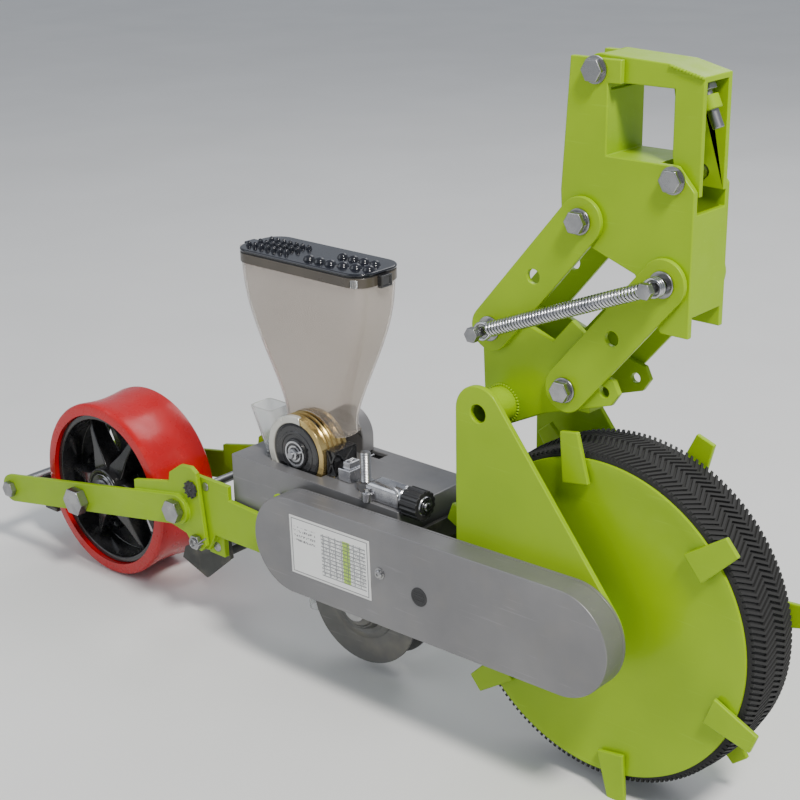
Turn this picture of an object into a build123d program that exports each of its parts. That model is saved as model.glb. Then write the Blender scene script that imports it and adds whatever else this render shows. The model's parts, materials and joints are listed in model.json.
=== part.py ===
"""Single-row corn planter unit for a square toolbar.

Frame: origin at the centre of the toolbar opening, +X forward, +Y to the machine's left, +Z up.
Side profiles are drawn in the XZ plane and extruded across the machine. All sizes are in millimetres.
"""
import os
from math import acos, atan2, cos, degrees, pi, radians, sin, tan

from build123d import *

# ---------------------------------------------------------------- driving dimensions
# toolbar clamp
toolbar = 60.0                 # square toolbar that the unit hangs on
toolbar_play = 1.0             # clearance on each side of the toolbar
plate = 6.0                    # thickness of the welded frame and bracket plates
bracket_half = 28.0            # half width over the bracket cheeks
bracket_rise = 51.0            # top of the cheeks above the opening's centre
bracket_rear = -72.0           # rear edge of the cheeks
bracket_front = 58.0           # front edge of the cheeks
bracket_drop = 178.0           # bottom of the cheeks below the opening's centre
strap_plate = 5.0              # thickness of the hinged clamp strap
strap_play = 0.5               # side clearance of the strap between the cheeks

# parallel linkage
upper_pivot = (-53.0, -90.5)   # front pivot of the upper arms, X and Z
pivot_spread = (87.0, -41.5)   # from the upper to the lower pivot at either end
arm_reach = (-100.0, -118.0)   # from an arm's front pivot to its rear pivot
arm_radius = 22.0              # half width of an arm and radius of its ends
arm_plate = 5.0
arm_gap = 0.5                  # running gap between an arm and the plate beside it
pivot_d = 12.0                 # pivot bolts
running = 0.05                 # radial clearance of a turning fit
bolt_play = 0.3                # radial clearance of a fixed bolt
lightening_r = 7.0             # round hole halfway along each arm
spring_d = 15.0                # outside diameter of the down-pressure spring
spring_wire = 2.6

# wheels
axle_from_upper_rear = (131.0, -260.5)   # drive axle from the rear pivot of the upper arms
rim_radius = 160.0
rim_half = 37.3
band_radius = 150.0
disc_recess = 10.0
sheet = 3.0
tyre_radius = 170.0
axle_d = 20.0
cleats = 6                     # grip cleats on each side of the wheel
cleat_radius = 186.0
cleat_lead = 40.0              # angle of the first cleat on the right side
press_radius = 111.6
press_half = 44.0
press_core_radius = 97.0
press_waist = 6.0              # depth of the hollow around the press tread
press_axle_d = 20.0

# main frame
side_half = 66.5               # half width over the side plates
cross_tube_d = 35.0
cross_tube_wall = 4.0
ear_radius = 27.0
cross_bore_r = 9.0
nose_radius = 50.0             # front end of the side plates, around the drive axle
ear_offset = (-119.0, 187.0)   # cross tube from the drive axle
beam_top = 25.0                # top of the side plates above the drive axle
beam_bottom = -54.0
beam_rear = -548.0             # rear end of the side plates behind the drive axle

# chain drive
pitch = 12.7
roller_d = 8.0
sprocket_teeth = 17
centre_pitches = 27.5          # half a whole number, so that both sprockets mesh alike
case_drop = 8.5                # rear shaft below the drive axle
case_radius = 54.0
case_depth = 27.0
case_back = 3.0                # backing plate of the chain case
case_wall = 2.0
shaft_d = 16.0

# seed meter gears
module = 2.0
end_teeth = 24
idler_teeth = 20
gear_width = 10.0
gear_backlash = 0.35
gear_line = 119.8              # direction from the driven shaft to the roller, degrees
gear_centre_y = 42.0

# seed meter and hopper
roller_radius = 33.5
roller_gap = 0.5
meter_radius = 41.0
meter_near = -40.0             # right end of the seed meter
meter_far = -2.0
deck_above = 51.0              # deck top above the drive axle
base_half = 58.0
base_wall = 5.0
base_drop = 37.0               # bottom of the meter base below the drive axle
base_length = 248.0
base_front = -230.0            # front of the meter base behind the drive axle
hopper_wall = 3.0
hopper_length = 190.0
hopper_width = 70.0
hopper_top = 277.5             # hopper mouth above the drive axle
hopper_neck = 88.0             # length of the hopper where it meets the meter
neck_width = 40.0
neck_drop = 21.0               # straight neck that straddles the top of the meter
seat_gap = 0.3                 # gap where a piece seats on a round one
lid_height = 15.0
lid_skin = 3.0
lid_gap = 0.5

# openers
disc_radius = 70.0
disc_sheet = 3.0
disc_toe = 5.0                 # toe-in of each opener disc, degrees
disc_offset = (-318.0, -97.0)  # disc centres from the drive axle
disc_side = 18.0               # disc centres from the centre line
tube_drop = 118.0              # straight part of the seed tube

# coverer and rear arms
cover_pivot_offset = (-509.0, -72.0)
cover_inner = 48.0             # inner faces of the coverer blades
arm_pivot_offset = (-526.0, -65.0)   # press-arm pivot from the drive axle
arm_bar = 36.0                 # height of the press-arm bars
press_offset = (-738.0, -71.0)  # press-wheel axle from the drive axle
tail_offset = (-883.0, -96.0)  # rear tie bar from the drive axle
arm_side = 67.5                # inner face of the press arms

# ---------------------------------------------------------------- places worked out from them
window = toolbar / 2 + toolbar_play
cheek_inner = bracket_half - plate
lower_pivot = (upper_pivot[0] + pivot_spread[0], upper_pivot[1] + pivot_spread[1])
upper_rear = (upper_pivot[0] + arm_reach[0], upper_pivot[1] + arm_reach[1])
lower_rear = (lower_pivot[0] + arm_reach[0], lower_pivot[1] + arm_reach[1])
arm_inner = bracket_half + arm_gap
arm_outer = arm_inner + arm_plate
axle = (upper_rear[0] + axle_from_upper_rear[0], upper_rear[1] + axle_from_upper_rear[1])
side_inner = side_half - plate


def from_axle(offset):
    """Place in the XZ plane at an offset from the drive axle."""
    return (axle[0] + offset[0], axle[1] + offset[1])


def toward(start, angle, distance):
    """Place in the XZ plane at a distance from start, in a direction in degrees."""
    return (start[0] + distance * cos(radians(angle)), start[1] + distance * sin(radians(angle)))


cross_tube = from_axle(ear_offset)
shaft_span = centre_pitches * pitch
driven = (axle[0] - (shaft_span**2 - case_drop**2) ** 0.5, axle[1] - case_drop)
gear_step = module * (end_teeth + idler_teeth) / 2
idler = toward(driven, gear_line, gear_step)
roller = toward(driven, gear_line, 2 * gear_step)
deck = axle[1] + deck_above
arm_pivot = from_axle(arm_pivot_offset)
press = from_axle(press_offset)
tail = from_axle(tail_offset)
opener = from_axle(disc_offset)
hopper_mouth = axle[1] + hopper_top
cover_pivot = from_axle(cover_pivot_offset)


# ---------------------------------------------------------------- helpers
def plane_at(y):
    """Side-profile plane at a height y across the machine; extrusions run towards -Y."""
    return Plane.XZ.offset(-y)


def save(piece, label):
    """Label a finished piece and write its STEP file."""
    piece.part.label = label
    export_step(piece.part, f"parts/{label}.step")


def round_bar(place, y_low, y_high, radius, mode=Mode.ADD):
    """Cylinder across the machine between two Y values."""
    with Locations((place[0], (y_low + y_high) / 2, place[1])):
        Cylinder(radius, y_high - y_low, rotation=(90, 0, 0), mode=mode)


def ring(place, y_low, y_high, outer, inner):
    """Tube across the machine between two Y values."""
    with BuildSketch(plane_at(y_high)) as section:
        with Locations(place):
            Circle(outer)
            Circle(inner, mode=Mode.SUBTRACT)
    extrude(section.sketch, amount=y_high - y_low)


def block(x_low, x_high, y_low, y_high, z_low, z_high, mode=Mode.ADD):
    """Box between low and high corners."""
    with Locations(((x_low + x_high) / 2, (y_low + y_high) / 2, (z_low + z_high) / 2)):
        Box(x_high - x_low, y_high - y_low, z_high - z_low, mode=mode)


def hexagon(place, y_low, y_high, across, bore=0.0):
    """Hexagonal prism across the machine, with an optional round bore."""
    with BuildSketch(plane_at(y_high)) as section:
        with Locations(place):
            RegularPolygon(across / 2, 6, major_radius=False)
            if bore:
                Circle(bore, mode=Mode.SUBTRACT)
    extrude(section.sketch, amount=y_high - y_low)


def bolt(place, y_seat, y_tip, size):
    """Hex bolt across the machine: its head sits on y_seat, its shank runs to y_tip."""
    outward = -1 if y_tip > y_seat else 1
    head_end = y_seat + outward * 0.62 * size
    hexagon(place, min(y_seat, head_end), max(y_seat, head_end), 1.55 * size)
    round_bar(place, min(y_seat, y_tip), max(y_seat, y_tip), size / 2)


def nut(place, y_seat, outward, size):
    """Hex nut on a shank across the machine, seated on y_seat."""
    end = y_seat + outward * 0.8 * size
    hexagon(place, min(y_seat, end), max(y_seat, end), 1.55 * size, size / 2)


def both_sides(inner, thickness):
    """Low and high Y of the right and the left plate of a pair."""
    return ((-inner - thickness, -inner), (inner, inner + thickness))


def strut(start, end, radius):
    """Round rod between two points in space."""
    path = Vector(*end) - Vector(*start)
    with BuildSketch(Plane(origin=start, z_dir=path)) as section:
        Circle(radius)
    extrude(section.sketch, amount=path.length)


os.makedirs("parts", exist_ok=True)

# ---------------------------------------------------------------- toolbar clamp
strap_hinge = (-44.0, bracket_rise - 10)
strap_lock = (window + 6, -window - 12)
strap_half = cheek_inner - strap_play
strap_end = 13.0
seat_end = strap_lock[0] - strap_end - 4
lower_corner = (lower_pivot[0] - 4, -bracket_drop)
web_face = window + strap_plate
# the set screw leans forward across the corner of the strap, in a boss on its front web
screw_lean = 25.0
screw_r = 5.0
screw_top = (web_face + 11.5, bracket_rise - 23)
screw_plane = Plane(
    origin=(screw_top[0], 0, screw_top[1]),
    x_dir=(0, 1, 0),
    z_dir=(sin(radians(screw_lean)), 0, -cos(radians(screw_lean))),
)

with BuildPart() as toolbar_bracket:
    for low, high in both_sides(cheek_inner, plate):
        with BuildSketch(plane_at(high)):
            with BuildLine():
                Polyline(
                    (bracket_rear + 2, bracket_rise),
                    (-window + 13, bracket_rise),
                    (-window + 13, window),
                    (-window, window),
                    (-window, -window),
                    (window + 9, -window),
                    (bracket_front, -window - 20),
                    (bracket_front, -bracket_drop),
                    lower_corner,
                    (lower_pivot[0] - 32, lower_pivot[1] + 2),
                    (upper_pivot[0] + 11, upper_pivot[1] - 24),
                    (bracket_rear - 4, upper_pivot[1] - 12),
                    (bracket_rear - 6, upper_pivot[1] + 24),
                    close=True,
                )
            make_face()
            with Locations(upper_pivot, lower_pivot):
                Circle(pivot_d / 2 + bolt_play, mode=Mode.SUBTRACT)
            with Locations(strap_hinge, strap_lock):
                Circle(pivot_d / 2 + bolt_play, mode=Mode.SUBTRACT)
        extrude(amount=high - low)
    post_top = strap_hinge[1] - strap_end - 3
    block(-window - plate, -window, -cheek_inner, cheek_inner, -window - plate, post_top)
    block(-window, seat_end, -cheek_inner, cheek_inner, -window - plate, -window)
    web_top = strap_lock[1] - strap_end - 15
    block(bracket_front - plate, bracket_front, -cheek_inner, cheek_inner, 18 - bracket_drop, web_top)
save(toolbar_bracket, "toolbar_bracket")

with BuildPart() as clamp_strap:
    for low, high in both_sides(strap_half - strap_plate, strap_plate):
        with BuildSketch(plane_at(high)):
            with Locations(strap_hinge, strap_lock):
                Circle(strap_end)
            with BuildLine():
                Polyline(
                    (strap_hinge[0], strap_hinge[1] + strap_end),
                    (window - 6, bracket_rise),
                    (bracket_front + 1, bracket_rise - 8),
                    (bracket_front + 1, strap_lock[1] - strap_end),
                    (strap_lock[0], strap_lock[1] - strap_end),
                    (window, -window + 8),
                    (window, window),
                    (-window, window),
                    (strap_hinge[0] + 4, strap_hinge[1] - 11),
                    close=True,
                )
            make_face()
            with Locations(strap_hinge, strap_lock):
                Circle(pivot_d / 2 + bolt_play, mode=Mode.SUBTRACT)
        extrude(amount=high - low)
    with BuildSketch(plane_at(strap_half)):
        with BuildLine():
            Polyline(
                (strap_hinge[0], strap_hinge[1] + strap_end),
                (window - 6, bracket_rise),
                (bracket_front + 1, bracket_rise - 8),
                (bracket_front + 1, bracket_rise - 8 - strap_plate),
                (window - 6, bracket_rise - strap_plate),
                (strap_hinge[0], strap_hinge[1] + strap_end - strap_plate),
                close=True,
            )
        make_face()
    extrude(amount=2 * strap_half)
    block(window, window + strap_plate, -strap_half, strap_half, 6 - window, bracket_rise - strap_plate - 3)
    with BuildSketch(screw_plane.offset(4)):
        Circle(9)
    extrude(amount=12)
    block(web_face - strap_plate - 20, web_face - strap_plate, -30, 30, -window, window, mode=Mode.SUBTRACT)
    with BuildSketch(screw_plane.offset(-12)):
        Circle(screw_r + running)
    extrude(amount=50, mode=Mode.SUBTRACT)
save(clamp_strap, "clamp_strap")

# ---------------------------------------------------------------- parallel linkage
washer = 2.5
spring_seat = arm_outer + washer + spring_d / 2 + 1.5


def linkage_arms(label, front, rear):
    """Pair of arm plates of the parallel linkage between their two pivots."""
    with BuildPart() as arms:
        for low, high in both_sides(arm_inner, arm_plate):
            with BuildSketch(plane_at(high)):
                with Locations(front, rear):
                    Circle(arm_radius)
                make_hull()
                with Locations(front, rear):
                    Circle(pivot_d / 2 + running, mode=Mode.SUBTRACT)
                with Locations(((front[0] + rear[0]) / 2, (front[1] + rear[1]) / 2)):
                    Circle(lightening_r, mode=Mode.SUBTRACT)
            extrude(amount=high - low)
    save(arms, label)


linkage_arms("upper_arms", upper_pivot, upper_rear)
linkage_arms("lower_arms", lower_pivot, lower_rear)

washer_in = arm_outer + 0.2
washer_out = washer_in + washer
nut_out = washer_out + 0.8 * pivot_d
spring_pin_end = spring_seat + spring_d / 2 + 3


def pivot_bolts(label, places, spring_place, clamped=()):
    """Bolts of the pivots on one carrier, with the bolts and set screw of the strap it clamps."""
    with BuildPart() as bolts:
        for place in places:
            head_seat = spring_pin_end if place == spring_place else washer_out
            bolt(place, -head_seat, nut_out + 3, pivot_d)
        for place in clamped:
            bolt(place, -bracket_half, bracket_half + 14, pivot_d)
        if clamped:
            with BuildSketch(screw_plane):
                Circle(screw_r)
            extrude(amount=32)
            with BuildSketch(screw_plane):
                RegularPolygon(8.5, 6, major_radius=False)
            extrude(amount=-7)
    save(bolts, f"{label}_bolts")


def pivot_nuts(label, places, clamped=()):
    """Nuts and washers of the pivots on one carrier."""
    with BuildPart() as nuts:
        for place in places:
            nut(place, washer_out, 1, pivot_d)
            ring(place, washer_in, washer_out, pivot_d, pivot_d / 2 + running)
            ring(place, -washer_out, -washer_in, pivot_d, pivot_d / 2 + running)
        for place in clamped:
            nut(place, bracket_half, 1, pivot_d)
    save(nuts, f"{label}_nuts")


def pivot_spacers(label, places):
    """Spacer tubes that keep the cheeks apart at the pivots on one carrier."""
    with BuildPart() as spacers:
        for place in places:
            ring(place, -cheek_inner, cheek_inner, pivot_d / 2 + 4, pivot_d / 2 + running)
    save(spacers, f"{label}_spacers")


for label, places, spring_place, clamped in (
    ("bracket", (upper_pivot, lower_pivot), lower_pivot, (strap_hinge, strap_lock)),
    ("linkage_base", (upper_rear, lower_rear), upper_rear, ()),
):
    pivot_bolts(label, places, spring_place, clamped)
    pivot_nuts(label, places, clamped)
    pivot_spacers(label, places)

spring_eye = spring_d / 2 - 0.5
spring_start = (upper_rear[0], -spring_seat, upper_rear[1])
spring_end = (lower_pivot[0], -spring_seat, lower_pivot[1])
eye_outer = pivot_d / 2 + 0.4 + spring_wire
spring_run = Vector(*spring_end) - Vector(*spring_start)
spring_plane = Plane(origin=spring_start, z_dir=spring_run)
with BuildPart() as down_spring:
    with BuildSketch(spring_plane.offset(eye_outer - 1)):
        Circle(spring_d / 2)
        Circle(spring_d / 2 - spring_wire, mode=Mode.SUBTRACT)
    extrude(amount=spring_run.length - 2 * eye_outer + 2)
    for place in (upper_rear, lower_pivot):
        ring(place, -spring_seat - spring_wire, -spring_seat + spring_wire, eye_outer, pivot_d / 2 + 0.4)
save(down_spring, "down_spring")

# ---------------------------------------------------------------- linkage base on the cross tube
with BuildPart() as linkage_base:
    for low, high in both_sides(cheek_inner, plate):
        with BuildSketch(plane_at(high)):
            with BuildLine():
                Polyline(
                    (upper_rear[0] - 13, upper_rear[1] - 2),
                    (upper_rear[0] - 6, upper_rear[1] + 12),
                    (upper_rear[0] + 46, upper_rear[1] + 8),
                    (upper_rear[0] + 69, upper_rear[1]),
                    (upper_rear[0] + 90, upper_rear[1] + 24),
                    (upper_rear[0] + 104, upper_rear[1] + 14),
                    (upper_rear[0] + 86, upper_rear[1] - 12),
                    (lower_rear[0] + 50, lower_rear[1] + 18),
                    (lower_rear[0] + 56, lower_rear[1] + 6),
                    (lower_rear[0] + 48, lower_rear[1] - 6),
                    (lower_rear[0] - 24, lower_rear[1] - 30),
                    (cross_tube[0] + 2, cross_tube[1] - cross_tube_d / 2 - 5),
                    (cross_tube[0] - cross_tube_d / 2 - 4, cross_tube[1] - 10),
                    close=True,
                )
            make_face()
            with Locations(upper_rear, lower_rear):
                Circle(pivot_d / 2 + bolt_play, mode=Mode.SUBTRACT)
            with Locations((lower_rear[0] + 40, lower_rear[1] + 5)):
                Circle(5, mode=Mode.SUBTRACT)
            with Locations(cross_tube):
                Circle(cross_tube_d / 2, mode=Mode.SUBTRACT)
        extrude(amount=high - low)
    rear_edge = cross_tube[0] - cross_tube_d / 2 - 4
    block(rear_edge, rear_edge + plate, -cheek_inner, cheek_inner, cross_tube[1] + 22, upper_rear[1] - 22)
    block(
        lower_rear[0] - 30, lower_rear[0] + 20, -cheek_inner, cheek_inner,
        lower_rear[1] - 22, lower_rear[1] - 22 + plate,
    )
save(linkage_base, "linkage_base")

with BuildPart() as cross_tube_piece:
    ring(cross_tube, -side_inner, side_inner, cross_tube_d / 2, cross_tube_d / 2 - cross_tube_wall)
save(cross_tube_piece, "cross_tube")

# ---------------------------------------------------------------- side plates
bearing_r = 15.0
tie_rod = from_axle((-516, 3))
for side, (low, high) in zip(("right", "left"), both_sides(side_inner, plate)):
    with BuildPart() as side_plate:
        with BuildSketch(plane_at(high)):
            with Locations(axle):
                Circle(nose_radius)
            with Locations(cross_tube):
                Circle(ear_radius)
            make_hull()
            with BuildLine():
                Polyline(
                    (cross_tube[0] - ear_radius, cross_tube[1]),
                    from_axle((ear_offset[0] - ear_radius, beam_top)),
                    from_axle((-403, beam_top)),
                    from_axle((-418, -7)),
                    from_axle((-478, -4)),
                    from_axle((-478, 13)),
                    from_axle((beam_rear + 3, 13)),
                    from_axle((beam_rear, 5)),
                    from_axle((beam_rear, -72)),
                    (arm_pivot[0] - 6, arm_pivot[1] - 13),
                    (arm_pivot[0] + 10, arm_pivot[1] - 11),
                    from_axle((beam_rear + 44, beam_bottom)),
                    from_axle((0, -nose_radius)),
                    axle,
                    close=True,
                )
            make_face()
            with Locations(axle, driven):
                Circle(bearing_r, mode=Mode.SUBTRACT)
            with Locations(cross_tube):
                Circle(cross_bore_r, mode=Mode.SUBTRACT)
            with Locations(arm_pivot, tie_rod):
                Circle(5 + running, mode=Mode.SUBTRACT)
        extrude(amount=high - low)
        lug = sorted((high - plate if low > 0 else low + plate, (cover_inner + 5.5) * (1 if low > 0 else -1)))
        with BuildSketch(plane_at(lug[1])):
            with Locations((cover_pivot[0], cover_pivot[1] + 14)):
                Rectangle(26, 48)
            with Locations(cover_pivot):
                Circle(6, mode=Mode.SUBTRACT)
        extrude(amount=lug[1] - lug[0])
    save(side_plate, f"side_plate_{side}")

slotted_x = base_front + axle[0] + 4
with BuildPart() as front_cross_plate:
    block(slotted_x, slotted_x + 5, -side_inner, side_inner, axle[1] - 40, axle[1] + beam_top)
    for y in (-30, 30):
        block(slotted_x - 1, slotted_x + 6, y - 18, y + 18, axle[1] - 12, axle[1] + 2, mode=Mode.SUBTRACT)
save(front_cross_plate, "front_cross_plate")

# ---------------------------------------------------------------- drive wheel
with BuildPart() as drive_axle:
    round_bar(axle, -side_half - case_back - 20, side_half + 18, axle_d / 2)
    round_bar(axle, side_half + 1, side_half + 11, axle_d / 2 + 6)
save(drive_axle, "drive_axle")

with BuildPart() as frame_bearings:
    for side in (-1, 1):
        inner_face = side * (side_inner - 4)
        outer_face = side * side_half
        ring(axle, min(inner_face, outer_face), max(inner_face, outer_face), bearing_r, axle_d / 2 + running)
        flange = side * side_inner
        ring(axle, min(inner_face, flange), max(inner_face, flange), bearing_r + 10, axle_d / 2 + running)
        ring(driven, min(flange, outer_face), max(flange, outer_face), bearing_r, shaft_d / 2 + running)
save(frame_bearings, "frame_bearings")

disc_face = rim_half - disc_recess
hub_radius = axle_d / 2 + 10
with BuildPart() as wheel_core:
    ring(axle, -side_inner + 5, side_inner - 5, hub_radius, axle_d / 2)
    ring(axle, -rim_half + sheet, rim_half - sheet, band_radius, band_radius - sheet)
save(wheel_core, "wheel_core")

with BuildPart() as wheel_discs:
    for sign in (-1, 1):
        low, high = sorted((sign * disc_face, sign * (disc_face - sheet)))
        ring(axle, low, high, band_radius - sheet, hub_radius)
        low, high = sorted((sign * rim_half, sign * (rim_half - sheet)))
        ring(axle, low, high, rim_radius, band_radius - 2 * sheet)
        low, high = sorted((sign * rim_half, sign * (disc_face - sheet)))
        ring(axle, low, high, band_radius - sheet, band_radius - 2 * sheet)
save(wheel_discs, "wheel_discs")

with BuildPart() as drive_tyre:
    with BuildSketch(Plane(origin=(axle[0], 0, axle[1]), x_dir=(1, 0, 0), z_dir=(0, 0, 1))):
        with BuildLine():
            edge = rim_half - sheet
            Polyline((tyre_radius - 5, edge), (band_radius, edge), (band_radius, -edge), (tyre_radius - 5, -edge))
            ThreePointArc((tyre_radius - 5, -edge), (tyre_radius, 0), (tyre_radius - 5, edge))
        make_face()
    revolve(axis=Axis((axle[0], 0, axle[1]), (0, 1, 0)))
save(drive_tyre, "drive_tyre")

cleat_sheet = 5.0
with BuildPart() as drive_cleats:
    for sign in (-1, 1):
        low, high = sorted((sign * rim_half, sign * (rim_half + cleat_sheet)))
        lead = cleat_lead if sign < 0 else cleat_lead + 180 / cleats
        with BuildSketch(plane_at(high)):
            with Locations(axle):
                with PolarLocations(0, cleats, start_angle=lead):
                    Polygon(
                        (band_radius - 14, -15), (cleat_radius, -10), (cleat_radius, 10), (band_radius - 14, 15),
                        align=None,
                    )
        extrude(amount=high - low)
save(drive_cleats, "drive_cleats")

# ---------------------------------------------------------------- chain drive
pitch_radius = pitch / (2 * sin(pi / sprocket_teeth))
chain_y = -side_half - case_back - 10
tooth_width = 7.0


def sprocket(place, first_gap, bore):
    """Sprocket with round seats for the chain rollers and a hub on its shaft."""
    with BuildPart() as wheel:
        with BuildSketch(plane_at(chain_y + tooth_width / 2)):
            with Locations(place):
                Circle(pitch_radius + 2.6)
                with PolarLocations(pitch_radius, sprocket_teeth, start_angle=first_gap):
                    Circle(roller_d / 2 + 0.25, mode=Mode.SUBTRACT)
                with PolarLocations(pitch_radius + 4, sprocket_teeth, start_angle=first_gap):
                    Rectangle(8, roller_d + 2.2, mode=Mode.SUBTRACT)
                Circle(bore, mode=Mode.SUBTRACT)
        extrude(amount=tooth_width)
        ring(place, chain_y - 8, chain_y + 8, bore + 8, bore)
    return wheel


run_angle = degrees(atan2(driven[1] - axle[1], driven[0] - axle[0]))
tooth_step = 360 / sprocket_teeth
save(sprocket(axle, run_angle - 90, axle_d / 2), "front_sprocket")
save(sprocket(driven, run_angle - 90 - tooth_step / 2, shaft_d / 2), "rear_sprocket")

links = int(2 * centre_pitches + sprocket_teeth)


def link_place(step):
    """Centre of chain roller number step, counted from the tangent point on the front sprocket."""
    wrap = sprocket_teeth / 2
    if step <= centre_pitches:
        start = toward(axle, run_angle - 90, pitch_radius)
        return toward(start, run_angle, step * pitch)
    if step <= centre_pitches + wrap:
        return toward(driven, run_angle - 90 + (step - centre_pitches) * tooth_step, pitch_radius)
    if step <= 2 * centre_pitches + wrap:
        start = toward(driven, run_angle + 90, pitch_radius)
        return toward(start, run_angle, -(step - centre_pitches - wrap) * pitch)
    return toward(axle, run_angle + 90 + (step - 2 * centre_pitches - wrap) * tooth_step, pitch_radius)


rollers = [link_place(step) for step in range(links)]
link_sheet = 1.2
with BuildPart() as drive_chain:
    with BuildSketch(plane_at(chain_y + tooth_width / 2 + 0.4)):
        with Locations(*rollers):
            Circle(roller_d / 2)
    extrude(amount=tooth_width + 0.8)
    for parity in (0, 1):
        inner = tooth_width / 2 + 0.5 + parity * (link_sheet + 0.1)
        for high in (chain_y + inner + link_sheet, chain_y - inner):
            with BuildSketch(plane_at(high)):
                for step in range(parity, links, 2):
                    here, there = rollers[step], rollers[(step + 1) % links]
                    turn = degrees(atan2(there[1] - here[1], there[0] - here[0]))
                    with Locations(Location(((here[0] + there[0]) / 2, (here[1] + there[1]) / 2), turn)):
                        SlotCenterToCenter(pitch, 9.2)
            extrude(amount=link_sheet)
save(drive_chain, "drive_chain")


def case_outline(radius):
    """Round-ended outline of the chain case, drawn in the current sketch."""
    with Locations(axle, driven):
        Circle(radius)
    make_hull()


with BuildPart() as case_plate:
    with BuildSketch(plane_at(-side_half)):
        case_outline(case_radius)
        with Locations(axle):
            Circle(axle_d / 2 + 2, mode=Mode.SUBTRACT)
        with Locations(driven):
            Circle(shaft_d / 2 + 2, mode=Mode.SUBTRACT)
    extrude(amount=case_back)
save(case_plate, "chain_case_plate")

case_screw = from_axle((-221, 0))
with BuildPart() as case_cover:
    with BuildSketch(plane_at(-side_half - case_back)):
        case_outline(case_radius)
    extrude(amount=case_depth)
    with BuildSketch(plane_at(-side_half - case_back)):
        case_outline(case_radius - case_wall)
    extrude(amount=case_depth - case_wall, mode=Mode.SUBTRACT)
    outer_face = case_cover.faces().sort_by(Axis.Y)[0]
    fillet(outer_face.outer_wire().edges(), case_wall * 0.9)
    round_bar(case_screw, -side_half - case_back - case_depth, -side_half - case_back, 3.2, mode=Mode.SUBTRACT)
save(case_cover, "chain_case_cover")

with BuildPart() as case_fixing:
    cover_face = -side_half - case_back - case_depth
    hexagon(case_screw, cover_face - 4, cover_face, 10)
    round_bar(case_screw, cover_face, -side_half - case_back, 3)
save(case_fixing, "chain_case_screw")

# ---------------------------------------------------------------- driven shaft and meter gears
base_x = (axle[0] + base_front - base_length, axle[0] + base_front)
with BuildPart() as driven_shaft:
    round_bar(driven, -side_half - case_back - 20, side_half + 8, shaft_d / 2)
save(driven_shaft, "driven_shaft")

pressure = radians(20)


def involute(angle):
    """Involute function of a pressure angle."""
    return tan(angle) - angle


def gear(place, teeth, first_tooth, bore, face_y):
    """Spur gear with involute flanks; first_tooth is the direction of one tooth, in degrees."""
    reference = module * teeth / 2
    base = reference * cos(pressure)
    tip = reference + 0.92 * module
    root = reference - 1.25 * module
    flank = []
    for step in range(6):
        radius = base + (tip - base) * step / 5
        half = pi / (2 * teeth) - gear_backlash / (2 * reference)
        half += involute(pressure) - involute(acos(min(1.0, base / radius)))
        flank.append((radius * cos(half), radius * sin(half)))
    mirrored = [(x, -y) for x, y in reversed(flank)]
    half_root = atan2(flank[0][1], flank[0][0])
    foot = [((root - 1) * cos(half_root), (root - 1) * sin(half_root))]
    foot_end = [(foot[0][0], -foot[0][1])]
    with BuildPart() as wheel:
        with BuildSketch(plane_at(face_y + gear_width / 2)):
            with Locations(place):
                Circle(root)
                with PolarLocations(0, teeth, start_angle=first_tooth):
                    Polygon(*foot, *flank, *mirrored, *foot_end, align=None)
                Circle(bore, mode=Mode.SUBTRACT)
        extrude(amount=gear_width)
    return wheel


roller_shaft_r = 6.0
idler_pin_r = 5.0
save(gear(driven, end_teeth, gear_line, shaft_d / 2, gear_centre_y), "driven_gear")
save(gear(idler, idler_teeth, gear_line + 180 / idler_teeth, idler_pin_r + running, gear_centre_y), "idler_gear")
save(gear(roller, end_teeth, gear_line, roller_shaft_r, gear_centre_y), "roller_gear")

# ---------------------------------------------------------------- meter base
gear_room = module * end_teeth / 2 + 6
with BuildPart() as meter_base:
    floor_z = axle[1] - base_drop
    block(*base_x, -base_half, base_half, floor_z, deck)
    block(
        base_x[0] + base_wall, base_x[1] - base_wall, -base_half + base_wall, base_half - base_wall,
        floor_z - 1, deck - base_wall, mode=Mode.SUBTRACT,
    )
    round_bar(driven, -base_half - 1, base_half + 1, shaft_d / 2 + 1, mode=Mode.SUBTRACT)
    round_bar(roller, meter_near - 3, meter_far + 3, meter_radius + 1, mode=Mode.SUBTRACT)
    gear_slot = (gear_centre_y - gear_width / 2 - 2, gear_centre_y + gear_width / 2 + 2)
    block(roller[0] - gear_room, idler[0] + gear_room, *gear_slot, deck - 20, deck + 5, mode=Mode.SUBTRACT)
    round_bar(idler, gear_centre_y + gear_width / 2 + 1, base_half - 1, idler_pin_r + 5)
    round_bar(idler, gear_centre_y - gear_width / 2 - 1, base_half + 1, idler_pin_r + 0.01, mode=Mode.SUBTRACT)
save(meter_base, "meter_base")

cover_radius = module * end_teeth / 2 + 6
with BuildPart() as gear_cover:
    low, high = gear_slot
    with BuildSketch(plane_at(high + 2)):
        with Locations(roller):
            Circle(cover_radius)
        with Locations((roller[0], deck)):
            Rectangle(2 * cover_radius, 2 * (roller[1] - deck))
    extrude(amount=high - low + 4)
    with BuildSketch(plane_at(high)):
        with Locations(roller):
            Circle(cover_radius - 2)
        with Locations((roller[0], deck)):
            Rectangle(2 * cover_radius - 4, 2 * (roller[1] - deck))
    extrude(amount=high - low, mode=Mode.SUBTRACT)
    block(*base_x, -base_half, base_half, deck - 60, deck, mode=Mode.SUBTRACT)
    round_bar(roller, low - 3, high + 3, roller_shaft_r + running, mode=Mode.SUBTRACT)
save(gear_cover, "gear_cover")

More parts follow.
